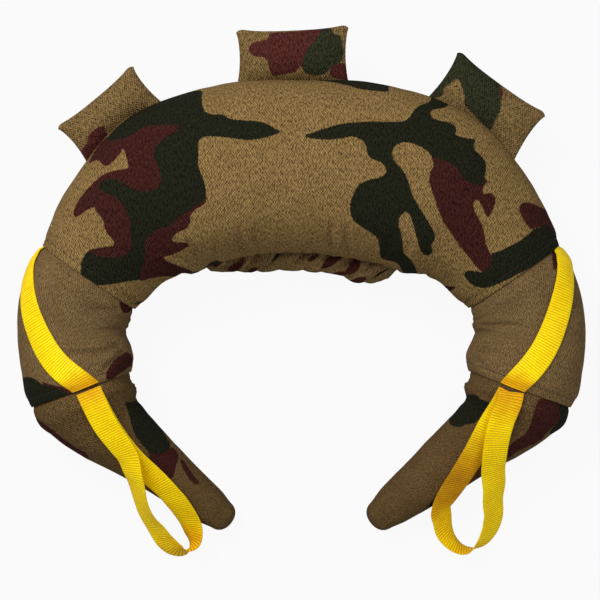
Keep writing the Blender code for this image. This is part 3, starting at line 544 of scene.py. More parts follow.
def colour(hex_value):
    """Linear red, green, blue and alpha of an sRGB hex value."""
    parts = [int(hex_value[k:k + 2], 16) / 255 for k in (1, 3, 5)]
    return tuple(p / 12.92 if p <= 0.04045 else ((p + 0.055) / 1.055) ** 2.4 for p in parts) + (1.0,)


def add(tree, kind, settings=None, **links):
    """Adds a node; settings are its properties, links its inputs by name or number."""
    node = tree.nodes.new(kind)
    for key, value in (settings or {}).items():
        setattr(node, key, value)
    for key, value in links.items():
        numbered = key[0] == "i" and key[1:].isdigit()
        socket = node.inputs[int(key[1:]) if numbered else key.replace("_", " ")]
        if isinstance(value, bpy.types.NodeSocket):
            tree.links.new(value, socket)
        else:
            socket.default_value = value
    return node


def maths(tree, operation, *values, **settings):
    """The result of a maths node with up to three values or sockets."""
    inputs = {"i%d" % k: value for k, value in enumerate(values)}
    return add(tree, "ShaderNodeMath", {"operation": operation, **settings}, **inputs).outputs[0]


def map_range(tree, value, low, high, to_low=0.0, to_high=1.0):
    """A value carried from one range to another and held at its ends."""
    return add(tree, "ShaderNodeMapRange", i0=value, i1=low, i2=high, i3=to_low,
               i4=to_high).outputs[0]


def scaled(tree, vector, by):
    """A place or a colour multiplied by a number."""
    return add(tree, "ShaderNodeVectorMath", {"operation": "SCALE"}, i0=vector, Scale=by).outputs[0]


def stretched(tree, where, scale, turn):
    """Places squeezed unevenly and turned, so that noise on them runs in streaks."""
    node = add(tree, "ShaderNodeMapping", i0=where)
    node.inputs["Scale"].default_value = scale
    node.inputs["Rotation"].default_value = (0.0, 0.0, turn)
    return node.outputs[0]


def noise(tree, where, scale, detail, flat=True, output=0, **more):
    """Noise over places; output 1 is its colour, which serves as a vector."""
    return add(tree, "ShaderNodeTexNoise", {"noise_dimensions": "2D" if flat else "3D"},
               Vector=where, Scale=scale, Detail=detail, **more).outputs[output]


def mixed(tree, share, first, second):
    """A blend of two colours, by a share from 0 to 1."""
    return add(tree, "ShaderNodeMix", {"data_type": "RGBA"}, i0=share, i6=first,
               i7=second).outputs[2]


def stored(tree, fact):
    """A number stored on each point of the cloth."""
    return add(tree, "ShaderNodeAttribute", {"attribute_name": fact}).outputs["Fac"]


def colour_ramp(tree, amount, stops):
    """Colours blended along an amount, from pairs of place and hex value."""
    ramp = add(tree, "ShaderNodeValToRGB", i0=amount)
    elements = ramp.color_ramp.elements
    elements[0].position, elements[1].position = stops[0][0], stops[-1][0]
    for place, _hex in stops[1:-1]:
        elements.new(place)
    for element, (_place, hex_value) in zip(elements, stops):
        element.color = colour(hex_value)
    return ramp.outputs[0]


def new_material(name, roughness, **more):
    """A material with its surface shader, and the node tree to draw on."""
    made = bpy.data.materials.new(name)
    made.use_nodes = True
    shader = made.node_tree.nodes["Principled BSDF"]
    shader.inputs["Roughness"].default_value = roughness
    for key, value in more.items():
        shader.inputs[key.replace("_", " ")].default_value = value
    return made, made.node_tree, shader


def finish_surface(tree, shader, paint, height, strength, depth):
    """Gives a surface its colour and its fine relief."""
    tree.links.new(paint, shader.inputs["Base Color"])
    bump = add(tree, "ShaderNodeBump", Strength=strength, Distance=depth, Height=height).outputs[0]
    tree.links.new(bump, shader.inputs["Normal"])

# %% [markdown]
# ### Printed cotton canvas
#
# The skin is a heavy plain-woven cotton canvas with a printed pattern.  It is
# matt, with a little sheen from loose fibre ends.  Its threads are about
# 1.2 mm apart, which the photograph's scale just loses, so the weave is drawn
# 2.2 mm apart, as coarse as it needs to show, both in the relief and as painted
# light and shade: lighter on the crests of the threads, darker in the hollows.
# The print takes unevenly on the threads: the eye sees fine paler and darker
# flecks, which lengthened noise draws.  The print lies on five grounds: the
# legs, the horns and the grips have browner or darker grounds than the centre,
# and the gathered roll's ground is darker than the centre's as painted shade
# under the lip.

# %% Canvas material
WEAVE = 0.0022
# Radians of the over and under pattern to one thread, across and along the cloth
THREAD_TURNS = (1.55 * math.pi, 1.05 * math.pi)
THREAD_BEND, BEND_SCALE, WEAVE_LIGHT_AND_SHADE = (1.1, 1.1, 0.0), 130.0, 0.46
MOTTLE_SCALE, RAGGED_SCALE, RAGGED_EDGE = 38.0, 0.9, 1.6
# Flecks to a metre across and along, and how far they darken and lighten the cloth
FLECKS_ACROSS, FLECKS_ALONG, FLECK_TURN = 520.0, 230.0, 0.22
FLECK_DARK, FLECK_PALE = 0.58, 0.6


def canvas(name, ground, pale, green="#1D1E13", maroon="#3A1B17", fleck=1.0):
    """Matt canvas: a mottled ground, two inks with ragged edges, flecks and weave."""
    made, tree, shader = new_material(name, 0.95, Specular_IOR_Level=0.06)
    cloth = add(tree, "ShaderNodeUVMap", {"uv_map": "cloth"}).outputs[0]
    threads = scaled(tree, cloth, 1 / WEAVE)
    bent = add(tree, "ShaderNodeVectorMath", {"operation": "MULTIPLY_ADD"},
               i0=noise(tree, cloth, BEND_SCALE, 1.0, output=1), i1=THREAD_BEND, i2=threads).outputs[0]
    split = add(tree, "ShaderNodeSeparateXYZ", i0=bent).outputs
    rows = [maths(tree, "SINE", maths(tree, "MULTIPLY", split[k], turns))
            for k, turns in enumerate(THREAD_TURNS)]
    over = maths(tree, "MULTIPLY", *rows)
    streaks = stretched(tree, cloth, (FLECKS_ACROSS / fleck, FLECKS_ALONG / fleck, 1.0), FLECK_TURN)
    flecks = noise(tree, streaks, 1.0, 2.0, Roughness=0.7)
    mottle = noise(tree, cloth, MOTTLE_SCALE, 3.0, Roughness=0.6)
    ragged = maths(tree, "MULTIPLY_ADD", noise(tree, threads, RAGGED_SCALE, 1.0), RAGGED_EDGE,
                   -RAGGED_EDGE / 2)
    paint = mixed(tree, map_range(tree, mottle, 0.2, 0.8), colour(ground), colour(pale))
    for fact, ink in (("maroon", maroon), ("green", green)):
        edge = maths(tree, "ADD", stored(tree, fact), ragged)
        paint = mixed(tree, map_range(tree, edge, -0.5, 0.5), paint, colour(ink))
    tone = map_range(tree, flecks, 0.3, 0.7, 1 - FLECK_DARK * fleck, 1 + FLECK_PALE * fleck)
    # Painted light and shade of the weave: the thread crests lighter, the hollows darker
    tone = maths(tree, "MULTIPLY_ADD", over, WEAVE_LIGHT_AND_SHADE * fleck, tone)
    height = maths(tree, "MULTIPLY_ADD", flecks, 0.8, over)
    finish_surface(tree, shader, scaled(tree, paint, tone), height, 0.6, 0.0008)
    return made


# The centre's tan, the grips' duller tan with paler inks, the legs' brown, the horns'
# darker brown, and the roll's tan, darkened as painted shade under the lip
tan_canvas = canvas("printed_cotton_canvas_tan", "#775F38", "#836A41")
grip_canvas = canvas("printed_cotton_canvas_grip", "#6B5535", "#77613B", green="#2B2D1D",
                     maroon="#4A2420")
brown_canvas = canvas("printed_cotton_canvas_brown", "#675134", "#745E3D", fleck=0.8)
horn_canvas = canvas("printed_cotton_canvas_horn", "#574326", "#644E30", fleck=0.8)
roll_canvas_with_painted_shade = canvas("gathered_cotton_canvas", "#6C5636", "#7A6440")
print("canvas materials", tan_canvas.name, brown_canvas.name, roll_canvas_with_painted_shade.name)

# %% [markdown]
# ### Webbing, wool, liner cloth and thread
#
# The straps are polypropylene webbing: thick, ribbed across, dyed a strong
# yellow, with a slight waxy shine.  Where it turns over, where other webbing
# shades it and where it goes under a hem or into a seam, shade is painted into
# it as amber and brown, and a number stored on each point says how much.
# Inside the bag are wool wadding and a plain woven liner, and the hems are
# sewn with a dark waxed thread.

# %% Webbing and hidden materials


def webbing_material():
    """Yellow webbing with painted shade: amber to brown where it lies in shade, darker between its ribs and
    at its edges, with a fine twill.
    """
    made, tree, shader = new_material("yellow_polypropylene_webbing", 0.55, Specular_IOR_Level=0.12)
    cloth = add(tree, "ShaderNodeUVMap", {"uv_map": "cloth"}).outputs[0]
    # Painted shade: the stored amount, with a little random noise, turns the yellow dye amber and brown
    amount = maths(tree, "MULTIPLY_ADD", noise(tree, cloth, 60.0, 3.0), 0.3, stored(tree, "painted_shade"),
                   use_clamp=True)
    dye_and_painted_shade = colour_ramp(tree, amount, [(0.1, "#FFDC02"), (0.5, "#E2A703"), (0.95, "#A4600A")])
    twill = noise(tree, stretched(tree, cloth, (900.0, 420.0, 1.0), 0.5), 1.0, 1.0)
    # Painted shade in the grooves between the ribs and along the edges, times a random twill tone
    tone = maths(tree, "MULTIPLY", map_range(tree, stored(tree, "rib"), 0.0, 1.0, 0.46, 1.24),
                 map_range(tree, twill, 0.3, 0.7, 0.88, 1.12))
    finish_surface(tree, shader, scaled(tree, dye_and_painted_shade, tone), twill, 0.3, 0.0004)
    return made


def plain_cloth(name, low, high, scale, roughness, depth):
    """A fibrous or woven cloth of two close tones, for layers that stay out of sight."""
    made, tree, shader = new_material(name, roughness)
    where = add(tree, "ShaderNodeTexCoord").outputs["Object"]
    grain = noise(tree, where, scale, 4.0, flat=False, Roughness=0.7)
    finish_surface(tree, shader, colour_ramp(tree, grain, [(0.35, low), (0.65, high)]), grain, 0.5,
                   depth)
    return made


yellow_webbing = webbing_material()
wool_wadding = plain_cloth("felted_wool_wadding", "#C9BFA8", "#E0D8C4", 400.0, 1.0, 0.001)
woven_liner = plain_cloth("woven_polypropylene_liner", "#8E8C86", "#A3A19A", 900.0, 0.6, 0.0004)
dark_thread = plain_cloth("waxed_cotton_thread", "#17140F", "#211C15", 1500.0, 0.7, 0.0001)
print("cloth materials ready")

# %% [markdown]
# ## The canvas skins
#
# Three tubes of canvas make the bag: the centre, the legs and the horns.  The
# end of each outer tube is turned in and sewn over the next.  The skins are
# dense grids, one point each 2.5 mm, so that sag, creases and the fold of a
# hem are in the mesh.  The fill presses the cloth out evenly, so its lumps are
# low; the sharp creases are where the bag bends, drawn as lines that push the
# cloth in along a narrow valley and up a little on each side.

# %% Lumps and creases
CREASE_REACH, UPPER_SIDE = 0.03, 0.025


def creased(points, lines):
    """How far each point moves out of the cloth because of creases along lines."""
    flat = points.reshape(-1, 3)
    total = np.zeros(len(flat))
    for spots, depth, width in lines:
        line = from_photo(spots)
        line = np.concatenate([np.linspace(p, q, 8, endpoint=False) for p, q in zip(line, line[1:])]
                              + [line[-1:]])
        low, high = line.min(0) - CREASE_REACH, line.max(0) + CREASE_REACH
        near = np.all((flat[:, :2] > low) & (flat[:, :2] < high), axis=1) & (flat[:, 2] > UPPER_SIDE)
        if not near.any():
            continue
        here = flat[near][:, :2]
        gaps = np.hypot(here[:, None, 0] - line[None, :, 0], here[:, None, 1] - line[None, :, 1])
        nearest = gaps.argmin(1)
        gap = gaps.min(1)
        share = nearest / (len(line) - 1)
        fade = np.sin(np.pi * (0.08 + 0.84 * share)) ** 0.6
        valley = -np.exp(-(gap / width) ** 2) + 0.42 * np.exp(-((gap - 2.4 * width) / (1.5 * width)) ** 2)
        total[near] += depth * fade * valley
    return total.reshape(points.shape[:-1])


# Height and size of the lumps, coarse to fine
LUMPS = ((0.0016, 0.075), (0.0008, 0.034), (0.00035, 0.014))


def lumps(points, seed=3):
    """Low lumps of a filled bag, in metres."""
    return sum(height * bumps(points, size, seed + k) for k, (height, size) in enumerate(LUMPS))


# Spots of each crease in pixels, its depth and its half width
CENTRE_CREASES = [
    ([(188, 228), (190, 240), (194, 252), (198, 262)], 0.0030, 0.0030),
    ([(240, 222), (241, 238), (240, 252)], 0.0027, 0.0024),
    ([(256, 226), (255, 240), (257, 252)], 0.0027, 0.0022),
    ([(278, 236), (277, 252)], 0.0017, 0.0020),
    ([(300, 240), (301, 252)], 0.0014, 0.0020),
    ([(330, 224), (329, 238), (331, 252)], 0.0028, 0.0024),
    ([(346, 228), (344, 242), (347, 254)], 0.0028, 0.0024),
    ([(366, 236), (368, 256)], 0.0012, 0.0022),
    ([(412, 240), (404, 256), (398, 270)], 0.0020, 0.0030),
    ([(220, 236), (214, 250), (212, 258)], 0.0018, 0.0026),
    ([(160, 262), (172, 270), (186, 274)], 0.0016, 0.0028),
    ([(438, 262), (428, 272), (420, 280)], 0.0016, 0.0028),
    ([(160, 250), (176, 258), (190, 262)], 0.0012, 0.0024),
]
LEG_CREASES = {
    "left": [([(66, 354), (80, 352.5), (95, 353), (108, 350), (122, 345)], 0.0042, 0.0030),
             ([(104, 372), (114, 362), (126, 352)], 0.0030, 0.0028),
             ([(100, 330), (114, 330), (128, 326)], 0.0018, 0.0030),
             ([(92, 310), (110, 309), (126, 305)], 0.0014, 0.0034),
             ([(108, 384), (118, 374), (128, 366)], 0.0020, 0.0024)],
    "right": [([(518, 325), (505, 325), (492, 325), (480, 322)], 0.0032, 0.0028),
              ([(494, 331), (484, 332), (472, 330)], 0.0036, 0.0028),
              ([(505, 352), (490, 352), (470, 346)], 0.0026, 0.0032),
              ([(500, 306), (486, 304), (474, 300)], 0.0014, 0.0030),
              ([(490, 372), (478, 362), (466, 354)], 0.0022, 0.0026)],
}

# %% The centre's skin
TURNED_HEM = [(0.0003, 0.0003), (0.0001, 0.0010), (-0.0012, 0.0014), (-0.010, 0.0014)]
STITCH_LINE, SEAM_VALLEY, GATHER_HEIGHT = 0.0085, 0.0014, 0.0005
WAVE_PITCH, WAVE_HEIGHT = 0.021, 0.0011
ROW_STEP, LEG_ROW_STEP, UNDER_HEM = 0.0026, 0.0024, 0.014
CENTRE_COLUMNS, CENTRE_RADII = 211, (0.097, 0.080)


def hem_rows(start, end, step, inner_start=True):
    """Rows along a tube and how far each lies inside it, with its ends turned in."""
    count = int(round((end - start) / step)) + 1
    rows = list(np.linspace(start, end, count)) + [end + ahead for ahead, inset in TURNED_HEM]
    insets = [0.0] * count + [inset for ahead, inset in TURNED_HEM]
    if inner_start:
        rows = [start - ahead for ahead, inset in reversed(TURNED_HEM)] + rows
        insets = [inset for ahead, inset in reversed(TURNED_HEM)] + insets
    return np.array(rows), np.array(insets)


# Place along the bag and depth, in mm, on the left and on the right half
PRESSED = {
    -1: [(0, 2.0), (30, 3.4), (60, 6.3), (90, 8.4), (120, 10.0), (145, 10.5), (160, 7.5), (180, 1.5),
         (200, 0)],
    1: [(0, 2.0), (30, 2.6), (60, 3.2), (90, 5.0), (120, 6.5), (145, 6.5), (160, 4.5), (180, 1.5),
        (200, 0)],
}


def pressed(places, angles):
    """How far the gathered inner side is pressed in over the roll, in metres."""
    left, right = [read_table(PRESSED[side], np.abs(places) * 1000) for side in (-1, 1)]
    depth = np.where(places < 0, left, right) / 1000
    return depth[:, None] * between(angles, 2.1, 2.75, 3.5, 4.1)[None, :]


def hem_relief(from_hem):
    """The hem stands proud, and the sewn line behind it is drawn in."""
    return 0.0003 * np.exp(-((from_hem - 0.003) / 0.003) ** 2) \
        - 0.0006 * np.exp(-((from_hem - STITCH_LINE) / 0.0016) ** 2)


def side_seams(angles, radius, depth, ridge=0.0):
    """The seams at both sides of a tube: a fine valley, and a low ridge beside it."""
    arcs = [np.abs(angles[None, :] - seam_angle) * radius for seam_angle in (0.0, np.pi)]
    return sum(ridge * np.exp(-((arc - 0.004) / 0.002) ** 2) - depth * np.exp(-(arc / SEAM_VALLEY) ** 2)
               for arc in arcs)


def gathers(grid, angles, past, count, seed):
    """Small folds round a tube, close behind the hem that it starts under."""
    folds = np.sin(angles[None, :] * count + 4 * bumps(grid, 0.03, seed))
    return folds * GATHER_HEIGHT * np.exp(-(past - 0.008).clip(0) / 0.010)


def folds_across(grid, places, drift, seed, pitch):
    """Waves along a tube that wander, from -1 to 1."""
    return np.sin((places[:, None] + drift * bumps(grid, 0.04, seed)) * 2 * np.pi / pitch)


def flat_cloth(places, angles, size):
    """Where each point of the centre lies on its flat cloth, one panel above and one below."""
    half_width, half_height = size[0][:, None], size[1][:, None]
    turn = angles[None, :]
    fine = np.hypot(half_width * np.sin(turn), half_height * np.cos(turn)) * np.gradient(turn, axis=1)
    length = np.cumsum(fine, axis=1)
    front = (turn >= 0) & (turn <= np.pi)
    top = np.argmin(np.abs(angles - np.pi / 2))
    offset = length[:, top:top + 1] - length
    bottom = np.where(turn < 0, length - length[:, :1], length - length[:, -1:])
    x, y, heading = [one[:, None] for one in along_bag(places)]
    hand = hand_of(places)[:, None]
    reach = np.where(front, offset, bottom)
    return np.stack([hand * (x + reach * np.sin(heading)), y + reach * np.cos(heading)], axis=-1)


places, insets = hem_rows(-LEG_SEAM, LEG_SEAM, ROW_STEP)
angles = even_angles(CENTRE_COLUMNS, *CENTRE_RADII)
size = outside(places)
grid, away = skin(places, angles, size, inset=insets[:, None] + pressed(places, angles))
middle = size[2][:, None]
free = ease(grid[..., 2], 0.003, 0.018)
from_hem = LEG_SEAM - np.abs(places)[:, None]
push = (lumps(grid) + creased(grid, CENTRE_CREASES)) * (0.3 + 0.7 * ease(from_hem, 0.002, 0.016))
push = push + np.where(places[:, None] < 0, inner_side(-places, angles, -1), inner_side(places, angles, 1))
# Long soft waves that the gathered inner edge sends up the cloth
inner = between(angles[None, :], 1.75, 2.9, 3.15, 3.5)
share = places[:, None] / 0.15
waves = np.sin(places[:, None] * 2 * np.pi / WAVE_PITCH + 2.5 * bumps(grid, 0.05, 9)) * 0.5 + 0.5
push = push + inner * (1 - ease(np.abs(share), 0.8, 1.25)) * (waves - 0.6) * WAVE_HEIGHT
push = push + hem_relief(from_hem) - drawn_in(places)[:, None]
push = push + side_seams(angles, CENTRE_RADII[1], 0.0016, 0.0006)
grid = grid + away * (push * free)[..., None]
cloth = flat_cloth(places, angles, size)
inks = camouflage(grid, middle, CENTRE_GREEN, CENTRE_MAROON, 21)
centre_canvas = cloth_object("centre_canvas", grid, cloth, facts=inks)
centre_canvas.data.materials.append(tan_canvas)
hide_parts("centre_front_panel", "centre_back_panel")
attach(centre_canvas, "centre")
print("centre canvas", len(centre_canvas.data.vertices), "points")

# %% [markdown]
# ### Legs and horns
#
# Each leg starts under the centre's hem and ends in a hem of its own, which
# laps over the horn.  The same grid makes them, with its own rows.

# %% Legs
BLEND_LENGTH = 0.06


def seam_line(distance, side):
    """Two points on the centre line: at a seam, and BLEND_LENGTH further along."""
    x, y, heading = [float(v) for v in along_bag(np.array(distance))]
    start = Vector((side * x, y, 0.05))
    ahead = Vector((side * math.cos(heading), -math.sin(heading), 0.0))
    return start, start + ahead * BLEND_LENGTH


def tube_cloth(places, angles, half_width, half_height):
    """Cloth places on a leg or horn: along it, and round it from the bottom."""
    fine = np.hypot(half_width * np.sin(angles), half_height * np.cos(angles)) * np.gradient(angles)
    around = np.cumsum(fine)
    return np.stack(np.broadcast_arrays(around[None, :], places[:, None]), axis=-1)


SIDES = (("left", -1), ("right", 1))
LEG_COLUMNS, LEG_RADIUS = 151, 0.060
for side_name, side in SIDES:
    places, insets = hem_rows(LEG_SEAM - UNDER_HEM, HORN_SEAM, LEG_ROW_STEP, inner_start=False)
    angles = even_angles(LEG_COLUMNS, LEG_RADIUS, LEG_RADIUS)
    size = nested(places, LEG_SEAM, LEG_RUN_ON)
    grid, away = skin(places, angles, size, side, insets)
    middle = size[2][:, None]
    free = ease(grid[..., 2], 0.004, 0.018)
    past, before = places[:, None] - LEG_SEAM, HORN_SEAM - places[:, None]
    at_edge = between(angles[None, :], 2.5, 2.9, 3.4, 3.8)
    push = lumps(grid) * (1 - 0.7 * at_edge) + creased(grid, LEG_CREASES[side_name]) * (1 - 0.9 * at_edge)
    # Folds squeezed up on the inner side of the bend, and gathers at the seam that it starts under
    inner = between(angles[None, :], 1.9, 2.7, 3.6, 4.2)
    folds = folds_across(grid, places, 0.012, 31 + side, 0.027)
    push = push + inner * ease(past, 0.01, 0.03) * ease(before, 0.008, 0.03) * (folds - 0.5) * 0.0004
    push = push + gathers(grid, angles, past, 23, 37 + side)
    push = push * (0.25 + 0.75 * ease(past, 0.003, 0.020)) * (0.3 + 0.7 * ease(before, 0.002, 0.016))
    push = push + hem_relief(before) - drawn_in(places)[:, None] + flush(past, LEG_RUN_ON)
    push = push + inner_side(places, angles, side) + side_seams(angles, LEG_RADIUS, 0.0013)
    grid = grid + away * (push * free)[..., None]
    inks = camouflage(grid, middle, LEG_GREEN[side_name], LEG_MAROON[side_name], 43 + side)
    cloth = tube_cloth(places, angles, LEG_RADIUS, LEG_RADIUS)
    made = cloth_object(side_name + "_leg_canvas", grid, cloth, facts=inks)
    made.data.materials.append(brown_canvas)
    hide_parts(side_name + "_leg_cover")
    seam_line(LEG_SEAM, side)
    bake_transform(made)
    print(made.name, len(made.data.vertices), "points")

# %% Horns
HORN_COLUMNS, HORN_RADII = 129, (0.045, 0.048)
END_SHARE = 0.88
for side_name, side in SIDES:
    places = np.arange(HORN_SEAM - UNDER_HEM, TIP, ROW_STEP)
    size = nested(places, HORN_SEAM, HORN_RUN_ON)
    turn_in = np.radians([8, 20, 32, 44, 56, 68, 79, 90])
    end = nested(np.full(len(turn_in), TIP), HORN_SEAM, HORN_RUN_ON)
    shrink = END_SHARE * np.maximum(np.cos(turn_in) ** 0.9, 0.001)
    end = np.array([end[0] * shrink, end[1] * shrink, end[2], end[2] - end[2] * shrink])
    size[:2] *= 1 - (1 - END_SHARE) * ease(places, TIP - 0.024, TIP + 0.003) ** 1.5
    places = np.concatenate([places, TIP + TIP_DOME * np.sin(turn_in)])
    size = np.concatenate([size, end], axis=1)
    angles = even_angles(HORN_COLUMNS, *HORN_RADII)
    grid, away = skin(places, angles, size, side)
    middle = size[2][:, None]
    free = ease(grid[..., 2], 0.003, 0.014)
    past, before = places[:, None] - HORN_SEAM, TIP - places[:, None]
    inner = between(angles[None, :], 1.7, 2.6, 3.6, 4.2)
    folds = folds_across(grid, places, 0.010, 51 + side, 0.024)
    push = lumps(grid, 13) * (0.35 + 0.65 * ease(before, -0.01, 0.05))
    push = push + inner * between(past, 0.006, 0.02, 0.05, 0.09) * (folds - 0.4) * 0.0006
    push = push + gathers(grid, angles, past, 19, 57 + side)
    push = push * (0.25 + 0.75 * ease(past, 0.003, 0.020)) - drawn_in(places)[:, None]
    push = push + flush(past, HORN_RUN_ON) + inner_side(places, angles, side)
    push = push + side_seams(angles, 0.040, 0.0010) * ease(before, -0.01, 0.02)
    grid = grid + away * (push * free)[..., None]
    inks = camouflage(grid, middle, HORN_GREEN[side_name], HORN_MAROON[side_name], 61 + side)
    cloth = tube_cloth(places, angles, *HORN_RADII)
    made = cloth_object(side_name + "_horn_canvas", grid, cloth, facts=inks)
    made.data.materials.append(horn_canvas)
    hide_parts(side_name + "_horn_cover")
    seam_line(HORN_SEAM, side)
    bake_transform(made)
    print(made.name, len(made.data.vertices), "points")

# %% [markdown]
# ## The layers under the canvas
#
# Under the skin lies a sleeve of wool wadding, and inside that a liner packed
# with sand.  The creases of the skin press further in than the plain solids
# allow, so the wadding is laid again a little deeper.  The liners lie deep
# enough to stay as they are, and only get their woven cloth.

# %% Wadding and liners
WOOL_INSET, WOOL_THICKNESS, WOOL_STEP, WOOL_DEEPEST = 0.0075, 0.0050, 0.012, 0.0125
# How far under the canvas the wool lies, under the horns' canvas, and how thin it may get
WOOL_UNDER, WOOL_UNDER_HORN, WOOL_THINNEST = 0.0052, 0.0045, 0.0015


def layer(name, start, end, side, size_of, body, replaced):
    """A tube of wadding with a wall, under the skin."""
    places = np.linspace(start, end, int((end - start) / WOOL_STEP) + 1)
    angles = even_angles(49, 0.09, 0.08)
    sunk = pressed(places, angles) if body == "centre" else -np.minimum(inner_side(places, angles, side), 0)
    if "horn" in name:
        sunk = np.maximum(WOOL_INSET, sunk + drawn_in(places)[:, None] + WOOL_UNDER_HORN)
    else:
        sunk = np.clip(sunk + WOOL_UNDER, WOOL_INSET, WOOL_DEEPEST)
    outer, _ = skin(places, angles, size_of(places), side, sunk)
    within = np.maximum(WOOL_INSET + WOOL_THICKNESS, sunk + WOOL_THINNEST)
    inner, _ = skin(places, angles, size_of(places), side, within)
    grid = np.concatenate([outer, inner[::-1], outer[:1]], axis=0)
    cloth = np.zeros(grid.shape[:2] + (2,))
    made = cloth_object(name, grid, cloth)
    made.data.materials.append(wool_wadding)
    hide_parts(replaced)
    if body == "centre":
        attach(made, body)
    elif body.endswith("leg"):
        seam_line(LEG_SEAM, side)
        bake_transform(made)
    else:
        seam_line(HORN_SEAM, side)
        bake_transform(made)
    return made


layer("centre_wool", -SHOULDER_END + LEG_RUN_ON, SHOULDER_END - LEG_RUN_ON, 1, outside, "centre",
      "centre_wadding_sleeve")
for side_name, side in SIDES:
    layer(side_name + "_leg_wool", LEG_SEAM - 0.020, LEG_END - HORN_RUN_ON, side,
          lambda p: nested(p, LEG_SEAM, LEG_RUN_ON), side_name + "_leg",
          side_name + "_leg_wadding_sleeve")
    layer(side_name + "_horn_wool", HORN_SEAM - 0.020, TIP - 0.004, side,
          lambda p: nested(p, HORN_SEAM, HORN_RUN_ON), side_name + "_horn",
          side_name + "_horn_wadding")
for node_name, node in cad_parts.items():
    if node_name.endswith("sand_liner"):
        node.data.materials.clear()
        node.data.materials.append(woven_liner)
print("wadding laid and liners finished")

# %% [markdown]
# ## Webbing
#
# The polypropylene webbing is drawn 28.5 mm wide and 1.8 mm thick, with a rib
# across it every 2.9 mm.  A flat strip with a ribbed picture on it would look
# dead where it turns over, so the ribs are in the mesh: a row of points every
# 0.6 mm rises and falls with them.  The edges are thinner, as woven selvedges
# are.  The grooves between the ribs and the thin edges are also painted darker,
# as painted shade.

# %% A strip of webbing
WEBBING_WIDTH, WEBBING, RIB = 0.0285, 0.0018, 0.0029
RIB_DEPTH = 0.00032
# Points across the webbing as shares of its width, and how thick it is at each
SHARES = np.array([-0.5, -0.49, -0.45, -0.36, -0.24, -0.12, 0, 0.12, 0.24, 0.36, 0.45, 0.49, 0.5])
THICK = WEBBING / 2 * np.array([0.25, 0.62, 0.8, 1, 1, 1, 1, 1, 1, 1, 0.8, 0.62, 0.25])


def webbing_strip(name, middles, flat, faces, painted_shade):
    """Ribbed webbing: flat holds the points across each row, middles its middle line."""
    lengths = distance_along(middles)
    ribbed = np.sqrt(0.5 + 0.5 * np.cos(lengths * 2 * np.pi / RIB))[:, None]
    relief = RIB_DEPTH * (ribbed - 1.0) * (np.abs(SHARES) < 0.44)[None, :]
    up = faces[:, None, :] * (THICK[None, :] + relief)[..., None]
    over, under = flat + up, flat - up
    grid = np.concatenate([over, under[:, ::-1], over[:, :1]], axis=1)
    across = np.concatenate([SHARES, SHARES[::-1] + 1.1, [-0.5]]) * WEBBING_WIDTH
    cloth = np.stack(np.broadcast_arrays(across[None, :], lengths[:, None]), axis=-1)
    # Painted shade: how high on a rib each point lies, and a low value at the edges, by which the material
    # darkens grooves and edges
    around = np.abs(np.concatenate([SHARES, SHARES[::-1], [-0.5]]))[None, :]
    rib = np.broadcast_to(np.where(around < 0.46, ribbed, 0.45), grid.shape[:2])
    # The last row at each end takes the section of the row next to it
    for end, near in ((0, 1), (-1, -2)):
        grid[end] = middles[end] + grid[near] - middles[near]
    facts = {"rib": rib, "painted_shade": np.broadcast_to(painted_shade[:, None], grid.shape[:2])}
    made = cloth_object(name, grid, cloth, facts=facts)
    fill_ends(made, grid.shape[0], grid.shape[1] - 1)
    made.data.materials.append(yellow_webbing)
    return made, lengths[-1]


def fill_ends(made, rows, wide):
    """Closes both ends of a strip with quads across it."""
    mesh = made.data
    work = bmesh.new()
    work.from_mesh(mesh)
    work.verts.ensure_lookup_table()
    for row in (0, rows - 1):
        first = row * wide
        for k in range(wide // 2 - 1):
            ring = [first + k, first + k + 1, first + wide - 2 - k, first + wide - 1 - k]
            try:
                work.faces.new([work.verts[v] for v in (ring if row else ring[::-1])])
            except ValueError:
                pass
    bmesh.ops.recalc_face_normals(work, faces=work.faces[:])
    work.to_mesh(mesh)
    work.free()
    mesh.shade_smooth()


# %% [markdown]
# ### Leg straps
#
# Each strap comes out from under the centre's hem on the outer side of the
# leg, climbs over it in a slanting line and is caught in the horn seam.  Its
# line is given as places along the leg and angles round it.  Each row of points
# is laid out square to the line and then settled onto the cloth.

# %% Leg straps
# Place along the leg in mm and angle round it in degrees
STRAP_LINES = {
    "left": [(265, -26.5), (276, -14), (283, -6), (296, 9), (309.5, 25), (322.6, 39), (337, 52),
             (353.6, 63.5), (374, 73.5), (387, 80), (401.6, 88.5), (412.6, 94.5)],
    "right": [(265, -19), (276, -2), (283, 9), (299.6, 35), (312.5, 50), (327.4, 63), (345, 73),
              (366, 81), (390, 88.5), (404, 94), (414, 98)],
}
STRAP_ROWS, SEAM_TURN_ROW, SEAM_TURN = 300, 250, 0.9
STRAP_OFF, HEM_DROP, SEAM_DROP = 0.0020, 0.0006, 0.0012
LINE_REACH, HEADING_REACH = 40, 24
SETTLE_TRIES, STEP_ALONG, STEP_ROUND = 6, 0.0004, 0.01


def on_leg(distance, angle, side, off):
    """Points on the leg's cloth at places along and angles round it, and the way off it."""
    size = nested(distance.ravel(), LEG_SEAM, LEG_RUN_ON)
    half_width, half_height, middle, floor = [one.reshape(distance.shape) for one in size]
    x, y, heading = [one.reshape(distance.shape) for one in along_bag(distance.ravel())]
    sideways = (half_width + off) * np.cos(angle)
    out, rise = np.cos(angle) / half_width, np.sin(angle) / half_height
    length = np.hypot(out, rise)
    points = np.stack([side * (x + sideways * np.sin(heading)), y + sideways * np.cos(heading),
                       middle + (half_height + off) * np.sin(angle)], axis=-1)
    away = np.stack([side * out / length * np.sin(heading), out / length * np.cos(heading),
                     rise / length], axis=-1)
    return points, away


def leg_point(distance, angle, side):
    """Points on the leg's cloth itself."""
    return on_leg(distance, angle, side, 0.0)[0]


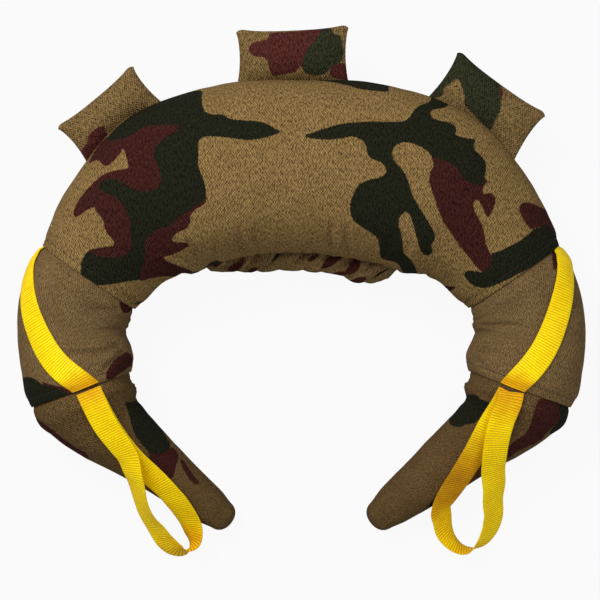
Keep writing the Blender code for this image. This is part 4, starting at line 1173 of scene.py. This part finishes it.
def smooth_line(table, count):
    """Evenly spread values on a smoothed line through a table of pairs."""
    table = np.array(table, float)
    steps = distance_along(table)
    line = smoothed(read_line(np.linspace(0, steps[-1], 400), steps, table), 21)
    return read_line(np.linspace(0, len(line) - 1, count), np.arange(len(line)), line)


def strap_off(place):
    """How far the strap's middle stands off the leg: less under the hem and in the horn seam."""
    under_hem = 1 - ease(place, LEG_SEAM - 0.001, LEG_SEAM + 0.006)
    in_seam = ease(place, HORN_SEAM - 0.008, HORN_SEAM)
    return STRAP_OFF - HEM_DROP * under_hem - SEAM_DROP * in_seam - drawn_in(place) \
        + flush(place - LEG_SEAM, LEG_RUN_ON)


def settle(goal, distance, angle, side):
    """Places along and angles round the leg whose points lie nearest to the goals."""
    for _ in range(SETTLE_TRIES):
        along = (leg_point(distance + STEP_ALONG, angle, side)
                 - leg_point(distance - STEP_ALONG, angle, side)) / (2 * STEP_ALONG)
        around = (leg_point(distance, angle + STEP_ROUND, side)
                  - leg_point(distance, angle - STEP_ROUND, side)) / (2 * STEP_ROUND)
        miss = goal - leg_point(distance, angle, side)
        aa, bb, ab = (along ** 2).sum(-1), (around ** 2).sum(-1), (along * around).sum(-1)
        a, b = (miss * along).sum(-1), (miss * around).sum(-1)
        distance = distance + (a * bb - b * ab) / (aa * bb - ab ** 2)
        angle = angle + (b * aa - a * ab) / (aa * bb - ab ** 2)
    return distance, angle


for side_name, side in SIDES:
    line = smooth_line(STRAP_LINES[side_name], STRAP_ROWS)
    distance, angle = line[:, 0] / 1000, np.radians(line[:, 1])
    middle_line = smoothed(leg_point(distance, angle, side), LINE_REACH)
    distance, angle = settle(middle_line, distance, angle, side)
    base, away = on_leg(distance, angle, side, 0.0)
    ahead = unit(smoothed(np.gradient(smoothed(base, HEADING_REACH), axis=0), HEADING_REACH))
    upward = unit(leg_point(distance, angle + STEP_ROUND, side)
                  - leg_point(distance, angle - STEP_ROUND, side))
    across = unit(np.cross(away, ahead))
    across *= np.sign((across * upward).sum(1))[:, None]
    # The last rows turn until they lie along the horn seam
    seam_turn = SEAM_TURN * ease(np.arange(STRAP_ROWS), SEAM_TURN_ROW, STRAP_ROWS - 1)
    lean = (upward * ahead).sum(1) / np.clip((upward * across).sum(1), 0.3, None)
    direction = across + (seam_turn * lean)[:, None] * ahead
    offsets = (SHARES * WEBBING_WIDTH)[None, :]
    goal = base[:, None, :] + offsets[..., None] * direction[:, None, :]
    start = np.broadcast_arrays(distance[:, None], angle[:, None], offsets)
    place, turned = settle(goal, start[0], start[1], side)
    flat = on_leg(place, turned, side, strap_off(place))[0]
    middles, away = on_leg(distance, angle, side, strap_off(distance))
    share = np.linspace(0, 1, STRAP_ROWS)
    # Painted shade at both ends, where the strap comes out from under the centre's hem and where it runs into
    # the horn seam
    painted_shade = 0.42 * ease(share, 0.86, 1.0) + 0.12 * (1 - ease(share, 0.0, 0.08))
    made, long = webbing_strip(side_name + "_leg_webbing", middles, flat, away, painted_shade)
    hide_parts(side_name + "_leg_strap")
    seam_line(LEG_SEAM, side)
    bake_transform(made)
    print(made.name, "%.0f mm long" % (long * 1000))

# %% [markdown]
# ### Hand loops
#
# A loop is a strap folded back on itself: both ends are sewn in one over the
# other, the webbing turns over at the bottom, and the fingers go through.
# Its route is given row by row, in millimetres, as the solid has it: the
# middle of the webbing, then the direction across it.

# %% Routes of the hand loops
LOOP_ROWS = {
    "left": [
        (228.9, -247.7, 117.5, 0.88, -0.47, -0.04), (225.5, -256.1, 117.3, 0.90, -0.43, -0.07),
        (222.2, -264.5, 115.9, 0.92, -0.38, -0.11), (219.1, -272.9, 112.5, 0.94, -0.31, -0.13),
        (215.7, -281.2, 108.8, 0.92, -0.35, -0.18), (211.5, -289.2, 105, 0.90, -0.38, -0.22),
        (206.6, -296.8, 101.2, 0.88, -0.38, -0.28), (201.6, -304.2, 97.5, 0.86, -0.37, -0.35),
        (196.6, -311.7, 93.7, 0.83, -0.34, -0.43), (191.5, -319.1, 90.1, 0.80, -0.29, -0.52),
        (188.8, -327.1, 86.6, 0.76, -0.22, -0.61), (187, -335.5, 83.2, 0.71, -0.14, -0.69),
        (184.4, -344.2, 80, 0.66, -0.05, -0.75), (182.2, -352.9, 73.3, 0.61, 0.04, -0.79),
        (180.6, -361.7, 66.5, 0.58, 0.10, -0.81), (178.5, -370.5, 59.8, 0.57, 0.14, -0.81),
        (175.8, -379.1, 53, 0.60, 0.14, -0.79), (172.6, -387.5, 46.3, 0.64, 0.10, -0.76),
        (167.6, -395.7, 39.6, 0.68, 0.00, -0.73), (161.9, -403.7, 33.1, 0.68, -0.14, -0.72),
        (156.8, -412.6, 27.3, 0.62, -0.30, -0.73), (150.8, -420.7, 22.5, 0.52, -0.48, -0.71),
        (143.7, -427.2, 19.2, 0.34, -0.52, -0.78), (135.5, -430.5, 17.5, 0.20, -0.45, -0.87),
        (127.2, -429.4, 17.5, 0.25, -0.30, -0.92), (121.8, -421.6, 19, 0.45, -0.10, -0.88),
        (120.8, -412, 22.2, 0.72, 0.12, -0.68), (122.6, -401.4, 26.9, 0.86, 0.08, -0.50),
        (125.9, -393, 32.7, 0.90, 0.00, -0.43), (130.4, -385.2, 39.1, 0.90, -0.08, -0.42),
        (135.1, -377.6, 45.8, 0.90, -0.15, -0.41), (140.3, -370.2, 51.9, 0.87, -0.25, -0.42),
        (146, -363.2, 56.5, 0.79, -0.33, -0.52), (152, -356.5, 60.9, 0.76, -0.40, -0.51),
        (158.2, -350, 64.5, 0.74, -0.46, -0.49), (164.7, -343.7, 68, 0.73, -0.51, -0.46),
        (171.2, -337.6, 71.5, 0.72, -0.54, -0.43), (177.9, -331.6, 74.9, 0.73, -0.55, -0.41),
        (184.3, -325.2, 78.5, 0.77, -0.51, -0.37), (190.2, -318.4, 82.4, 0.81, -0.48, -0.34),
        (195.8, -311.4, 86.4, 0.83, -0.46, -0.30), (201.1, -304.1, 90.6, 0.86, -0.44, -0.27),
        (206.1, -296.6, 94.7, 0.88, -0.42, -0.24), (210.7, -288.9, 98.6, 0.90, -0.39, -0.21),
        (214.8, -280.9, 102.7, 0.92, -0.35, -0.18), (218.5, -272.6, 106.8, 0.93, -0.33, -0.15),
        (222, -264.4, 110.3, 0.93, -0.35, -0.13), (225.5, -256.1, 112.8, 0.90, -0.43, -0.09),
        (228.9, -247.7, 114, 0.88, -0.47, -0.04),
    ],
    "right": [
        (228.9, -247.7, 117.5, 0.94, -0.34, -0.04), (227.8, -256.7, 117.5, 0.97, -0.21, -0.07),
        (224.9, -265.3, 115.2, 0.95, -0.31, -0.08), (221.7, -273.8, 111.7, 0.95, -0.28, -0.10),
        (219.1, -282.4, 107.7, 0.97, -0.20, -0.13), (217.1, -291.3, 103.8, 0.98, -0.12, -0.15),
        (215.6, -300.2, 98.9, 0.98, -0.04, -0.18), (214.5, -309.2, 93.7, 0.98, 0.02, -0.21),
        (213.7, -318.2, 88.5, 0.97, 0.08, -0.23), (213.1, -327.3, 81.7, 0.96, 0.13, -0.25),
        (212.6, -336.3, 75, 0.94, 0.17, -0.29), (213.7, -345.4, 68.2, 0.92, 0.21, -0.33),
        (214.9, -354.5, 61.5, 0.89, 0.24, -0.38), (214.4, -363.5, 54.7, 0.86, 0.28, -0.43),
        (214, -372.6, 48, 0.81, 0.32, -0.48), (215.5, -381.5, 41.3, 0.76, 0.35, -0.54),
        (215.5, -391, 34.7, 0.80, 0.20, -0.57), (214, -401.3, 28.5, 0.75, 0.10, -0.65),
        (210, -411.5, 23.3, 0.66, 0.00, -0.75), (204.5, -420.5, 19.5, 0.38, -0.20, -0.90),
        (196, -427, 17.3, 0.30, 0.00, -0.95), (186, -429.8, 16.4, 0.05, 0.25, -0.97),
        (176, -426.2, 16.4, 0.22, 0.37, -0.90), (168, -418.7, 17.4, 0.43, 0.38, -0.81),
        (162, -409.5, 19.6, 0.65, 0.26, -0.71), (159.3, -399.5, 23.4, 0.72, 0.20, -0.66),
        (158.3, -390, 28.5, 0.75, 0.18, -0.63), (156.1, -383.3, 34.6, 0.77, 0.26, -0.58),
        (159.2, -374.8, 41.2, 0.85, 0.06, -0.52), (163.1, -366.6, 47.9, 0.88, -0.07, -0.47),
        (167.6, -358.8, 54.6, 0.89, -0.15, -0.44), (172.2, -350.9, 60.8, 0.89, -0.20, -0.42),
        (176.8, -343.2, 67, 0.89, -0.22, -0.41), (181.5, -335.4, 72.5, 0.89, -0.24, -0.40),
        (186, -327.5, 78, 0.90, -0.24, -0.37), (190.3, -319.5, 83.6, 0.91, -0.24, -0.35),
        (194.5, -311.5, 88.9, 0.90, -0.26, -0.35), (198.6, -303.4, 93.1, 0.90, -0.28, -0.34),
        (202.5, -295.3, 96.7, 0.90, -0.30, -0.32), (206.6, -287.1, 99.9, 0.89, -0.35, -0.29),
        (211, -279.2, 103.2, 0.88, -0.41, -0.25), (215.8, -271.5, 106.5, 0.87, -0.45, -0.21),
        (220.5, -263.8, 109.9, 0.88, -0.44, -0.16), (224.8, -255.8, 113.2, 0.89, -0.44, -0.10),
        (228.9, -247.7, 114, 0.94, -0.34, -0.04),
    ],
}

# %% Hand loops


def through_rows(rows, step):
    """Evenly spaced rows on a smooth curve through the given rows."""
    rows = np.array(rows, float)
    rows[:, :3] /= 1000
    before = np.concatenate([rows[:1], rows[:-1]])
    after = np.concatenate([rows[1:], rows[-1:]])
    beyond = np.concatenate([rows[2:], rows[-1:], rows[-1:]])
    fine = curve_through(rows, before, after, beyond, np.linspace(0, 1, 14, endpoint=False))
    fine = smoothed(fine[:-1].reshape(-1, rows.shape[1]), 16)
    lengths = distance_along(fine[:, :3])
    return read_line(np.linspace(0, lengths[-1], int(lengths[-1] / step)), lengths, fine)


# Share of the way round the loop, and how much painted shade turns the webbing amber there
PAINTED_SHADE_LOOPS = {
    "left": [(0, 0.35), (0.04, 0.1), (0.08, 0.0), (0.40, 0.0), (0.48, 0.25), (0.54, 0.35), (0.58, 0.05),
             (0.7, 0.0), (0.94, 0.0), (1, 0.35)],
    "right": [(0, 0.4), (0.05, 0.25), (0.09, 0.0), (0.42, 0.0), (0.48, 0.25), (0.53, 0.1), (0.60, 0.1),
              (0.66, 0.5), (0.74, 0.6), (0.84, 0.2), (0.9, 0.0), (0.95, 0.0), (1, 0.35)],
}
LOOP_STEP, ROOT_X, ROOT_Y, ROOT_REACH = 0.00058, 0.2289, -0.2477, 0.035
ROOT_SHIFT = {"left": (0.0036, 0.0012, -0.0028), "right": (0.0008, -0.0004, -0.0026)}
for side_name, side in SIDES:
    rows = through_rows(LOOP_ROWS[side_name], LOOP_STEP)
    # Each loop is sewn in a little beside its hinge
    from_root = np.hypot(rows[:, 0] - ROOT_X, rows[:, 1] - ROOT_Y)
    rows[:, :3] += np.exp(-(from_root / ROOT_REACH) ** 2)[:, None] * np.array(ROOT_SHIFT[side_name])
    middles = rows[:, :3] * np.array([side, 1, 1]) + np.array([0, SHIFT_Y, 0])
    across = rows[:, 3:6] * np.array([side, 1, 1])
    along = unit(np.gradient(middles, axis=0))
    across = unit(across - along * (across * along).sum(1)[:, None])
    faces = np.cross(along, across) * side
    share = np.linspace(0, 1, len(rows))
    painted_shade = read_table(PAINTED_SHADE_LOOPS[side_name], share)
    flat = middles[:, None, :] + across[:, None, :] * (SHARES * WEBBING_WIDTH)[None, :, None]
    made, long = webbing_strip(side_name + "_loop_webbing", middles, flat, faces, painted_shade)
    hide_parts(side_name + "_hand_loop")
    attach(made, side_name + "_loop")
    print(made.name, "%.0f mm long" % (long * 1000))

# %% [markdown]
# ## The gathered roll
#
# The inner edge of the bag is pulled in and rolled up, and the loose canvas
# twists into a thick cord under the lip of the centre.  Twisted cloth has
# sharp valleys between rounded folds, so the roll is a tube whose radius
# follows folds that wind round it, with noise that lets each fold wander.

# %% Gathered roll
ROLL_HALF, ROLL_RADIUS, ROLL_ROWS, ROLL_COLUMNS = 0.150, 0.0105, 420, 61
TWIST_PITCH, TWIST_FOLDS, TAPER = 0.105, 3, 0.35
# Where the roll is thicker, by how much, and how far it is sunk there
BULGE_PLACE, BULGE_HALF, BULGE, BULGE_SUNK = 0.105, 0.035, 0.0034, 0.0030
# Place along the bag in mm, with the angle in degrees at which the roll is tucked in
TUCK = [(-150, 35), (-120, 32), (-90, 27), (-60, 22), (-30, 19), (0, 16), (30, 15), (60, 19), (75, 17),
        (90, 16), (120, 20), (150, 28)]
# The lip is pressed in over the roll, so the cloth reaches back to it: place and reach, in mm
REACH_BACK = [(-150, 8.0), (-120, 8.0), (-90, 7.5), (-60, 6.5), (-40, 4.6), (-20, 3.0), (0, 2.8), (30, 2.8),
              (70, 2.6), (110, 3.8), (130, 6.0), (150, 8.0)]
distance = np.linspace(-ROLL_HALF, ROLL_HALF, ROLL_ROWS)
share = distance / ROLL_HALF
bulge = np.exp(-((distance - BULGE_PLACE) / BULGE_HALF) ** 2)
radius = ROLL_RADIUS * (1 - TAPER * share ** 4) + BULGE * bulge
size = outside(distance)
tuck = np.pi + np.radians(read_table(TUCK, distance * 1000))
tip = ease(np.abs(share), 0.94, 1.0)
off = radius * (1.02 - 0.5 * tip) - BULGE_SUNK * bulge
reach_back = read_table(REACH_BACK, distance * 1000) / 1000
middle_side = (size[0] + off) * np.cos(tuck)
middle_up = size[2] + (size[1] + off) * np.sin(tuck)
turn = np.linspace(0, 2 * np.pi, ROLL_COLUMNS)
x, y, heading = along_bag(distance)
hand = hand_of(distance)
along_roll = np.broadcast_to(distance[:, None], (ROLL_ROWS, ROLL_COLUMNS))
spot = np.stack([along_roll, radius[:, None] * np.cos(turn), radius[:, None] * np.sin(turn)], axis=-1)
wander = 1.1 * bumps(spot * np.array([1, 1.6, 1.6]), 0.030, 71)
phase = TWIST_FOLDS * (turn[None, :] + 2 * np.pi * distance[:, None] / TWIST_PITCH) + wander
fold = np.abs(np.cos(phase / 2)) ** 0.7
small = np.abs(np.sin(phase * 1.5 + 2 * bumps(spot, 0.02, 73))) ** 0.6
reach = radius[:, None] * (0.80 + 0.30 * fold + 0.05 * small + 0.06 * bumps(spot, 0.025, 75))
reach *= (1 - 0.9 * tip)[:, None]
reach += reach_back[:, None] * np.clip(np.cos(turn[None, :] - tuck[:, None] + np.pi), 0, 1) ** 1.5
sideways = middle_side[:, None] + reach * np.cos(turn)[None, :]
grid = np.stack([hand[:, None] * (x[:, None] + sideways * np.sin(heading)[:, None]),
                 y[:, None] + sideways * np.cos(heading)[:, None],
                 middle_up[:, None] + reach * np.sin(turn)[None, :]], axis=-1)
cloth = np.stack(np.broadcast_arrays(distance[:, None], turn[None, :] * ROLL_RADIUS), axis=-1)
print_drift = bumps(grid, 0.030, 81) * 9 + bumps(grid, 0.012, 82) * 3
# The maroon patches on the fold crests are print; the dark green ink, print laid only in the valleys between
# the folds, is painted shade there as well
facts = {"maroon": (fold - 0.80) * 9 + print_drift * 0.9 - 2.2,
         "green": (0.16 - fold) * 8 - print_drift - 1.5}
roll = cloth_object("gathered_roll", grid, cloth, facts=facts)
roll.data.materials.append(roll_canvas_with_painted_shade)
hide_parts("centre_gathered_roll")
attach(roll, "centre")
print("gathered roll", len(roll.data.vertices), "points")

# %% [markdown]
# ## Pillow grips
#
# Three small pillows are sewn along the outer seam for the hands.  Two canvas
# panels are joined edge to edge round a stuffed core, so the pillow is full
# in the middle, thin at its edges, pulled in between its corners and puckered
# along its seam.  One closed grid, front and back, carries that.

# %% Grips
ROOT_DEPTH, WAIST, CORNER, CORNER_DROP = -0.0090, 0.0038, 0.009, 0.008
PUCKER, PUCKER_SIZE, PUCKER_REACH = 0.0016, 0.011, 0.008


def outer_seam(place):
    """Place, direction along and direction away of the outer seam, on the right half."""
    def spot(distance):
        x, y, heading = along_bag(np.abs(distance))
        half = outside(distance)[0]
        x = hand_of(distance) * (x + half * np.sin(heading))
        return np.stack([x, y + half * np.cos(heading)], axis=-1)
    here, after, before = spot(place), spot(place + 0.001), spot(place - 0.001)
    along = (after - before) / np.linalg.norm(after - before)
    return spot, here, along, np.array([-along[1], along[0]])


def pillow(name, place, side, width, depth, crown, tilt, inset, rows=41, wide=65):
    """Points of a closed pillow: rows from its root outwards, and round from front to back."""
    spot, here, along, away = outer_seam(np.array(place))
    v = (1 - np.cos(np.pi * np.arange(rows) / (rows - 1))) / 2
    u = np.sin(np.pi * (np.arange(wide) / (wide - 1) - 0.5))
    u, v = np.meshgrid(u, v)
    half = width / 2 - inset
    x = u * (half - WAIST * 4 * v * (1 - v))
    root = ROOT_DEPTH + inset
    y = root + (depth - inset - root) * v
    y += (0.0036 * u ** 4 - 0.0016 * (1 - u * u) + tilt * u) * v ** 2
    turned = np.clip((np.abs(x) - (half - CORNER)) / CORNER, 0, 1)
    y -= CORNER_DROP * (1 - np.sqrt(1 - 0.9 * turned ** 2)) * v ** 3
    seam = spot(place + np.linspace(-0.075, 0.075, 61)) - here
    fall = -np.interp(x, seam @ along, seam @ away)
    y -= fall * (1 - v) ** 2
    full = (4 * v * (1 - v)) ** np.where(v < 0.5, 0.75, 0.5)
    rise = (crown - inset) * full * np.clip(1 - u * u, 0, 1) ** 0.42
    edge = np.minimum(np.minimum(v, 1 - v) * depth, (1 - np.abs(u)) * half)
    spots = np.stack([x, y, rise], axis=-1)
    puckers = bumps(spots * np.array([1, 1, 0.3]), PUCKER_SIZE, 90 + len(name)) * np.exp(-edge / PUCKER_REACH)
    rise = rise + np.where(edge > 0.0005, PUCKER * puckers + 0.0012 * bumps(spots, 0.028, 95 + len(name)), 0)
    rise = np.maximum(rise, 0.0)
    level = float(outside(np.array(place))[2])
    plan = here + x[..., None] * along + (y + 0.0034)[..., None] * away
    plan = plan * np.array([side, 1.0])
    front = np.concatenate([plan, (level + 0.0002 + rise)[..., None]], axis=-1)
    back = np.concatenate([plan, (level - 0.0002 - rise)[..., None]], axis=-1)
    grid = np.concatenate([front, back[:, ::-1], front[:, :1]], axis=1)
    cloth = np.stack([x, y], axis=-1)
    cloth = np.concatenate([cloth, cloth[:, ::-1] + 0.3, cloth[:, :1]], axis=1)
    pivot = np.array([here[0] * side, here[1], level])
    outward = np.array([away[0] * side, away[1], 0.0])
    return grid, cloth, level, pivot, outward


# Name, place along the bag, side, width, depth, crown and tilt
GRIPS = (("top", -0.007, 1, 0.125, 0.052, 0.020, 0.0018),
         ("left", 0.163, -1, 0.109, 0.037, 0.018, 0.0),
         ("right", 0.1572, 1, 0.1205, 0.0455, 0.018, -0.0017))
for name, place, side, width, depth, crown, tilt in GRIPS:
    grid, cloth, level, pivot, outward = pillow(name, place, side, width, depth, crown, tilt, 0.0)
    middle = np.full(grid.shape[:2], level)
    facts = camouflage(grid, middle, GRIP_GREEN[name], GRIP_MAROON[name], 101 + len(name))
    made = cloth_object(name + "_grip_pillow", grid, cloth, facts=facts)
    fill_ends(made, grid.shape[0], grid.shape[1] - 1)
    made.data.materials.append(grip_canvas)
    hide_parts(name + "_grip_front", name + "_grip_back")
    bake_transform(made)
    grid, cloth, level, pivot, outward = pillow(name, place, side, width, depth, crown, tilt, 0.0045, 17, 25)
    core = cloth_object(name + "_grip_stuffing", grid, cloth)
    fill_ends(core, grid.shape[0], grid.shape[1] - 1)
    core.data.materials.append(wool_wadding)
    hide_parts(name + "_grip_core")
    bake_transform(core)
    print(made.name, len(made.data.vertices), "points")

# %% [markdown]
# ## Stitching
#
# Each hem is held down by a row of stitches about 4.5 mm long, in dark waxed
# thread that sinks a little into the cloth.  A stitch is too small for a
# picture of it to look right from the side, so each one is a tiny spindle of
# its own, laid on the cloth along the hem.  All the stitches of a seam are
# one mesh.

# %% Stitches along the hems


def spindles(name, starts, ends, ups, radius, body):
    """One mesh of short rounded threads between pairs of points."""
    around, shares = 6, np.array([0.0, 0.12, 0.35, 0.65, 0.88, 1.0])
    fat = np.array([0.15, 0.75, 1.0, 1.0, 0.75, 0.15]) * radius
    lift = np.array([-0.6, 0.1, 0.5, 0.5, 0.1, -0.6]) * radius
    points, faces = [], []
    for start, end, up in zip(starts, ends, ups):
        along = (end - start) / np.linalg.norm(end - start)
        out = np.cross(along, up)
        first = len(points)
        for share, wide, rise in zip(shares, fat, lift):
            middle = start + (end - start) * share + up * rise
            for k in range(around):
                angle = 2 * math.pi * k / around
                points.append(tuple(middle + (out * math.cos(angle) + up * math.sin(angle)) * wide))
        for row in range(len(shares) - 1):
            for k in range(around):
                a, b = first + row * around + k, first + row * around + (k + 1) % around
                faces.append((a, b, b + around, a + around))
        faces.append(tuple(first + k for k in reversed(range(around))))
        faces.append(tuple(first + (len(shares) - 1) * around + k for k in range(around)))
    mesh = bpy.data.meshes.new(name)
    mesh.from_pydata(points, [], faces)
    mesh.shade_smooth()
    made = new_object(name, mesh)
    made.data.materials.append(dark_thread)
    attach(made, body)


STITCH, STITCH_GAP, THREAD_RADIUS, LOWEST_STITCH = 0.0034, 0.0016, 0.00045, 0.006
THREAD_SUNK = 0.00050
for seam_name, seam, half in (("leg", LEG_SEAM, 0.063), ("horn", HORN_SEAM, 0.066)):
    for side_name, side in SIDES:
        place = np.array([seam - STITCH_LINE])
        if seam_name == "leg":
            body, size = "centre", outside(place)
        else:
            body, size = side_name + "_leg", nested(place, LEG_SEAM, LEG_RUN_ON)
        fine = even_angles(int(2 * math.pi * half / (STITCH + STITCH_GAP)) * 2 + 1, half, half)
        grid, away = [rows[0] for rows in skin(place, fine, size, side)]
        lift = lumps(grid) * 0.5 - THREAD_SUNK - drawn_in(place)[0] + inner_side(place, fine, side)[0]
        grid = grid + away * (lift * ease(grid[:, 2], 0.003, 0.018))[:, None]
        first = np.arange(0, len(fine) - 2, 2)
        first = first[grid[first, 2] >= LOWEST_STITCH]
        ends = grid[first] + (grid[first + 2] - grid[first]) * STITCH / (STITCH + STITCH_GAP)
        spindles("%s_%s_hem_stitches" % (side_name, seam_name), grid[first], ends,
                 unit(away[first + 1]), THREAD_RADIUS, body)
print("hems stitched")

# %% [markdown]
# ## Floor, light and camera
#
# The bag is photographed from straight above on white.  A pale floor catches
# the soft shadow, a broad lamp from the upper left gives the cloth its form,
# and an even sky fills the rest.  The camera stands far off with a long lens,
# so that the far and near sides of the bag are seen alike.

# %% Floor
# Share of plain white in the floor that the camera sees, half its width, and how far it lies below
FLOOR_GLOW, FLOOR_HALF, FLOOR_DROP = 0.93, 6, 0.0004


def floor_material():
    """A pale matt floor that the camera sees brighter than it lights the bag."""
    made, tree, shader = new_material("pale_floor", 0.9)
    where = add(tree, "ShaderNodeTexCoord").outputs["Object"]
    grain = noise(tree, where, 30.0, 2.0, flat=False)
    tree.links.new(colour_ramp(tree, grain, [(0.0, "#A6A6A6"), (1.0, "#ADADAD")]),
                   shader.inputs["Base Color"])
    glow = add(tree, "ShaderNodeEmission", Strength=1.0)
    glow.inputs["Color"].default_value = (1.0, 1.0, 1.0, 1.0)
    camera_only = add(tree, "ShaderNodeLightPath").outputs["Is Camera Ray"]
    mixed_light = add(tree, "ShaderNodeMixShader", i0=maths(tree, "MULTIPLY", camera_only, FLOOR_GLOW),
                      i1=shader.outputs[0], i2=glow.outputs[0])
    output = [n for n in tree.nodes if n.type == "OUTPUT_MATERIAL"][0]
    tree.links.new(mixed_light.outputs[0], output.inputs["Surface"])
    return made


mesh = bpy.data.meshes.new("floor")
corners = [(x * FLOOR_HALF, y * FLOOR_HALF, 0) for x, y in ((-1, -1), (1, -1), (1, 1), (-1, 1))]
mesh.from_pydata(corners, [], [(0, 1, 2, 3)])
floor = new_object("floor", mesh)
floor.location.z = -FLOOR_DROP
mesh.materials.append(floor_material())

# %% Light
# How strong the sky is as light on the bag, and as the white seen behind it
SKY_LIGHT, SKY_SEEN = 0.42, 0.96
world = bpy.data.worlds.new("soft_sky")
bpy.context.scene.world = world
world.use_nodes = True
background = world.node_tree.nodes["Background"]
background.inputs["Color"].default_value = (1.0, 1.0, 1.0, 1.0)
sky_seen = world.node_tree.nodes.new("ShaderNodeLightPath").outputs["Is Camera Ray"]
sky = map_range(world.node_tree, sky_seen, 0.0, 1.0, SKY_LIGHT, SKY_SEEN)
world.node_tree.links.new(sky, background.inputs["Strength"])


def lamp(name, where, size, power, tint):
    """A round soft lamp that points at the bag."""
    data = bpy.data.lights.new(name, "AREA")
    data.shape = "DISK"
    data.size = size
    data.energy = power
    data.color = tint
    made = new_object(name, data)
    made.location = where
    made.rotation_euler = (-Vector(where)).to_track_quat("-Z", "Y").to_euler()


lamp("upper_left_softbox", (-1.3, 1.5, 2.6), 1.5, 84.0, (1.0, 0.99, 0.97))
lamp("right_fill", (1.8, -0.9, 1.8), 1.8, 13.0, (0.97, 0.98, 1.0))

# %% Camera
FRAME_WIDTH, HEIGHT_SEEN, FAR = 600 * PIXEL, 0.065, 3.4
camera_data = bpy.data.cameras.new("camera")
camera_data.sensor_fit = "HORIZONTAL"
camera_data.sensor_width = 36.0
camera_data.lens = 36.0 * FAR / FRAME_WIDTH
camera_data.clip_end = 50.0
camera = new_object("camera", camera_data)
aim = from_photo([(300.0, 300.0)])[0]
camera.location = (aim[0], aim[1], HEIGHT_SEEN + FAR)
camera.rotation_euler = (0.0, 0.0, 0.0)
bpy.context.scene.camera = camera
bpy.context.scene.view_settings.view_transform = "Standard"
print("camera over", [round(v, 3) for v in aim], "lens %.0f mm" % camera_data.lens)
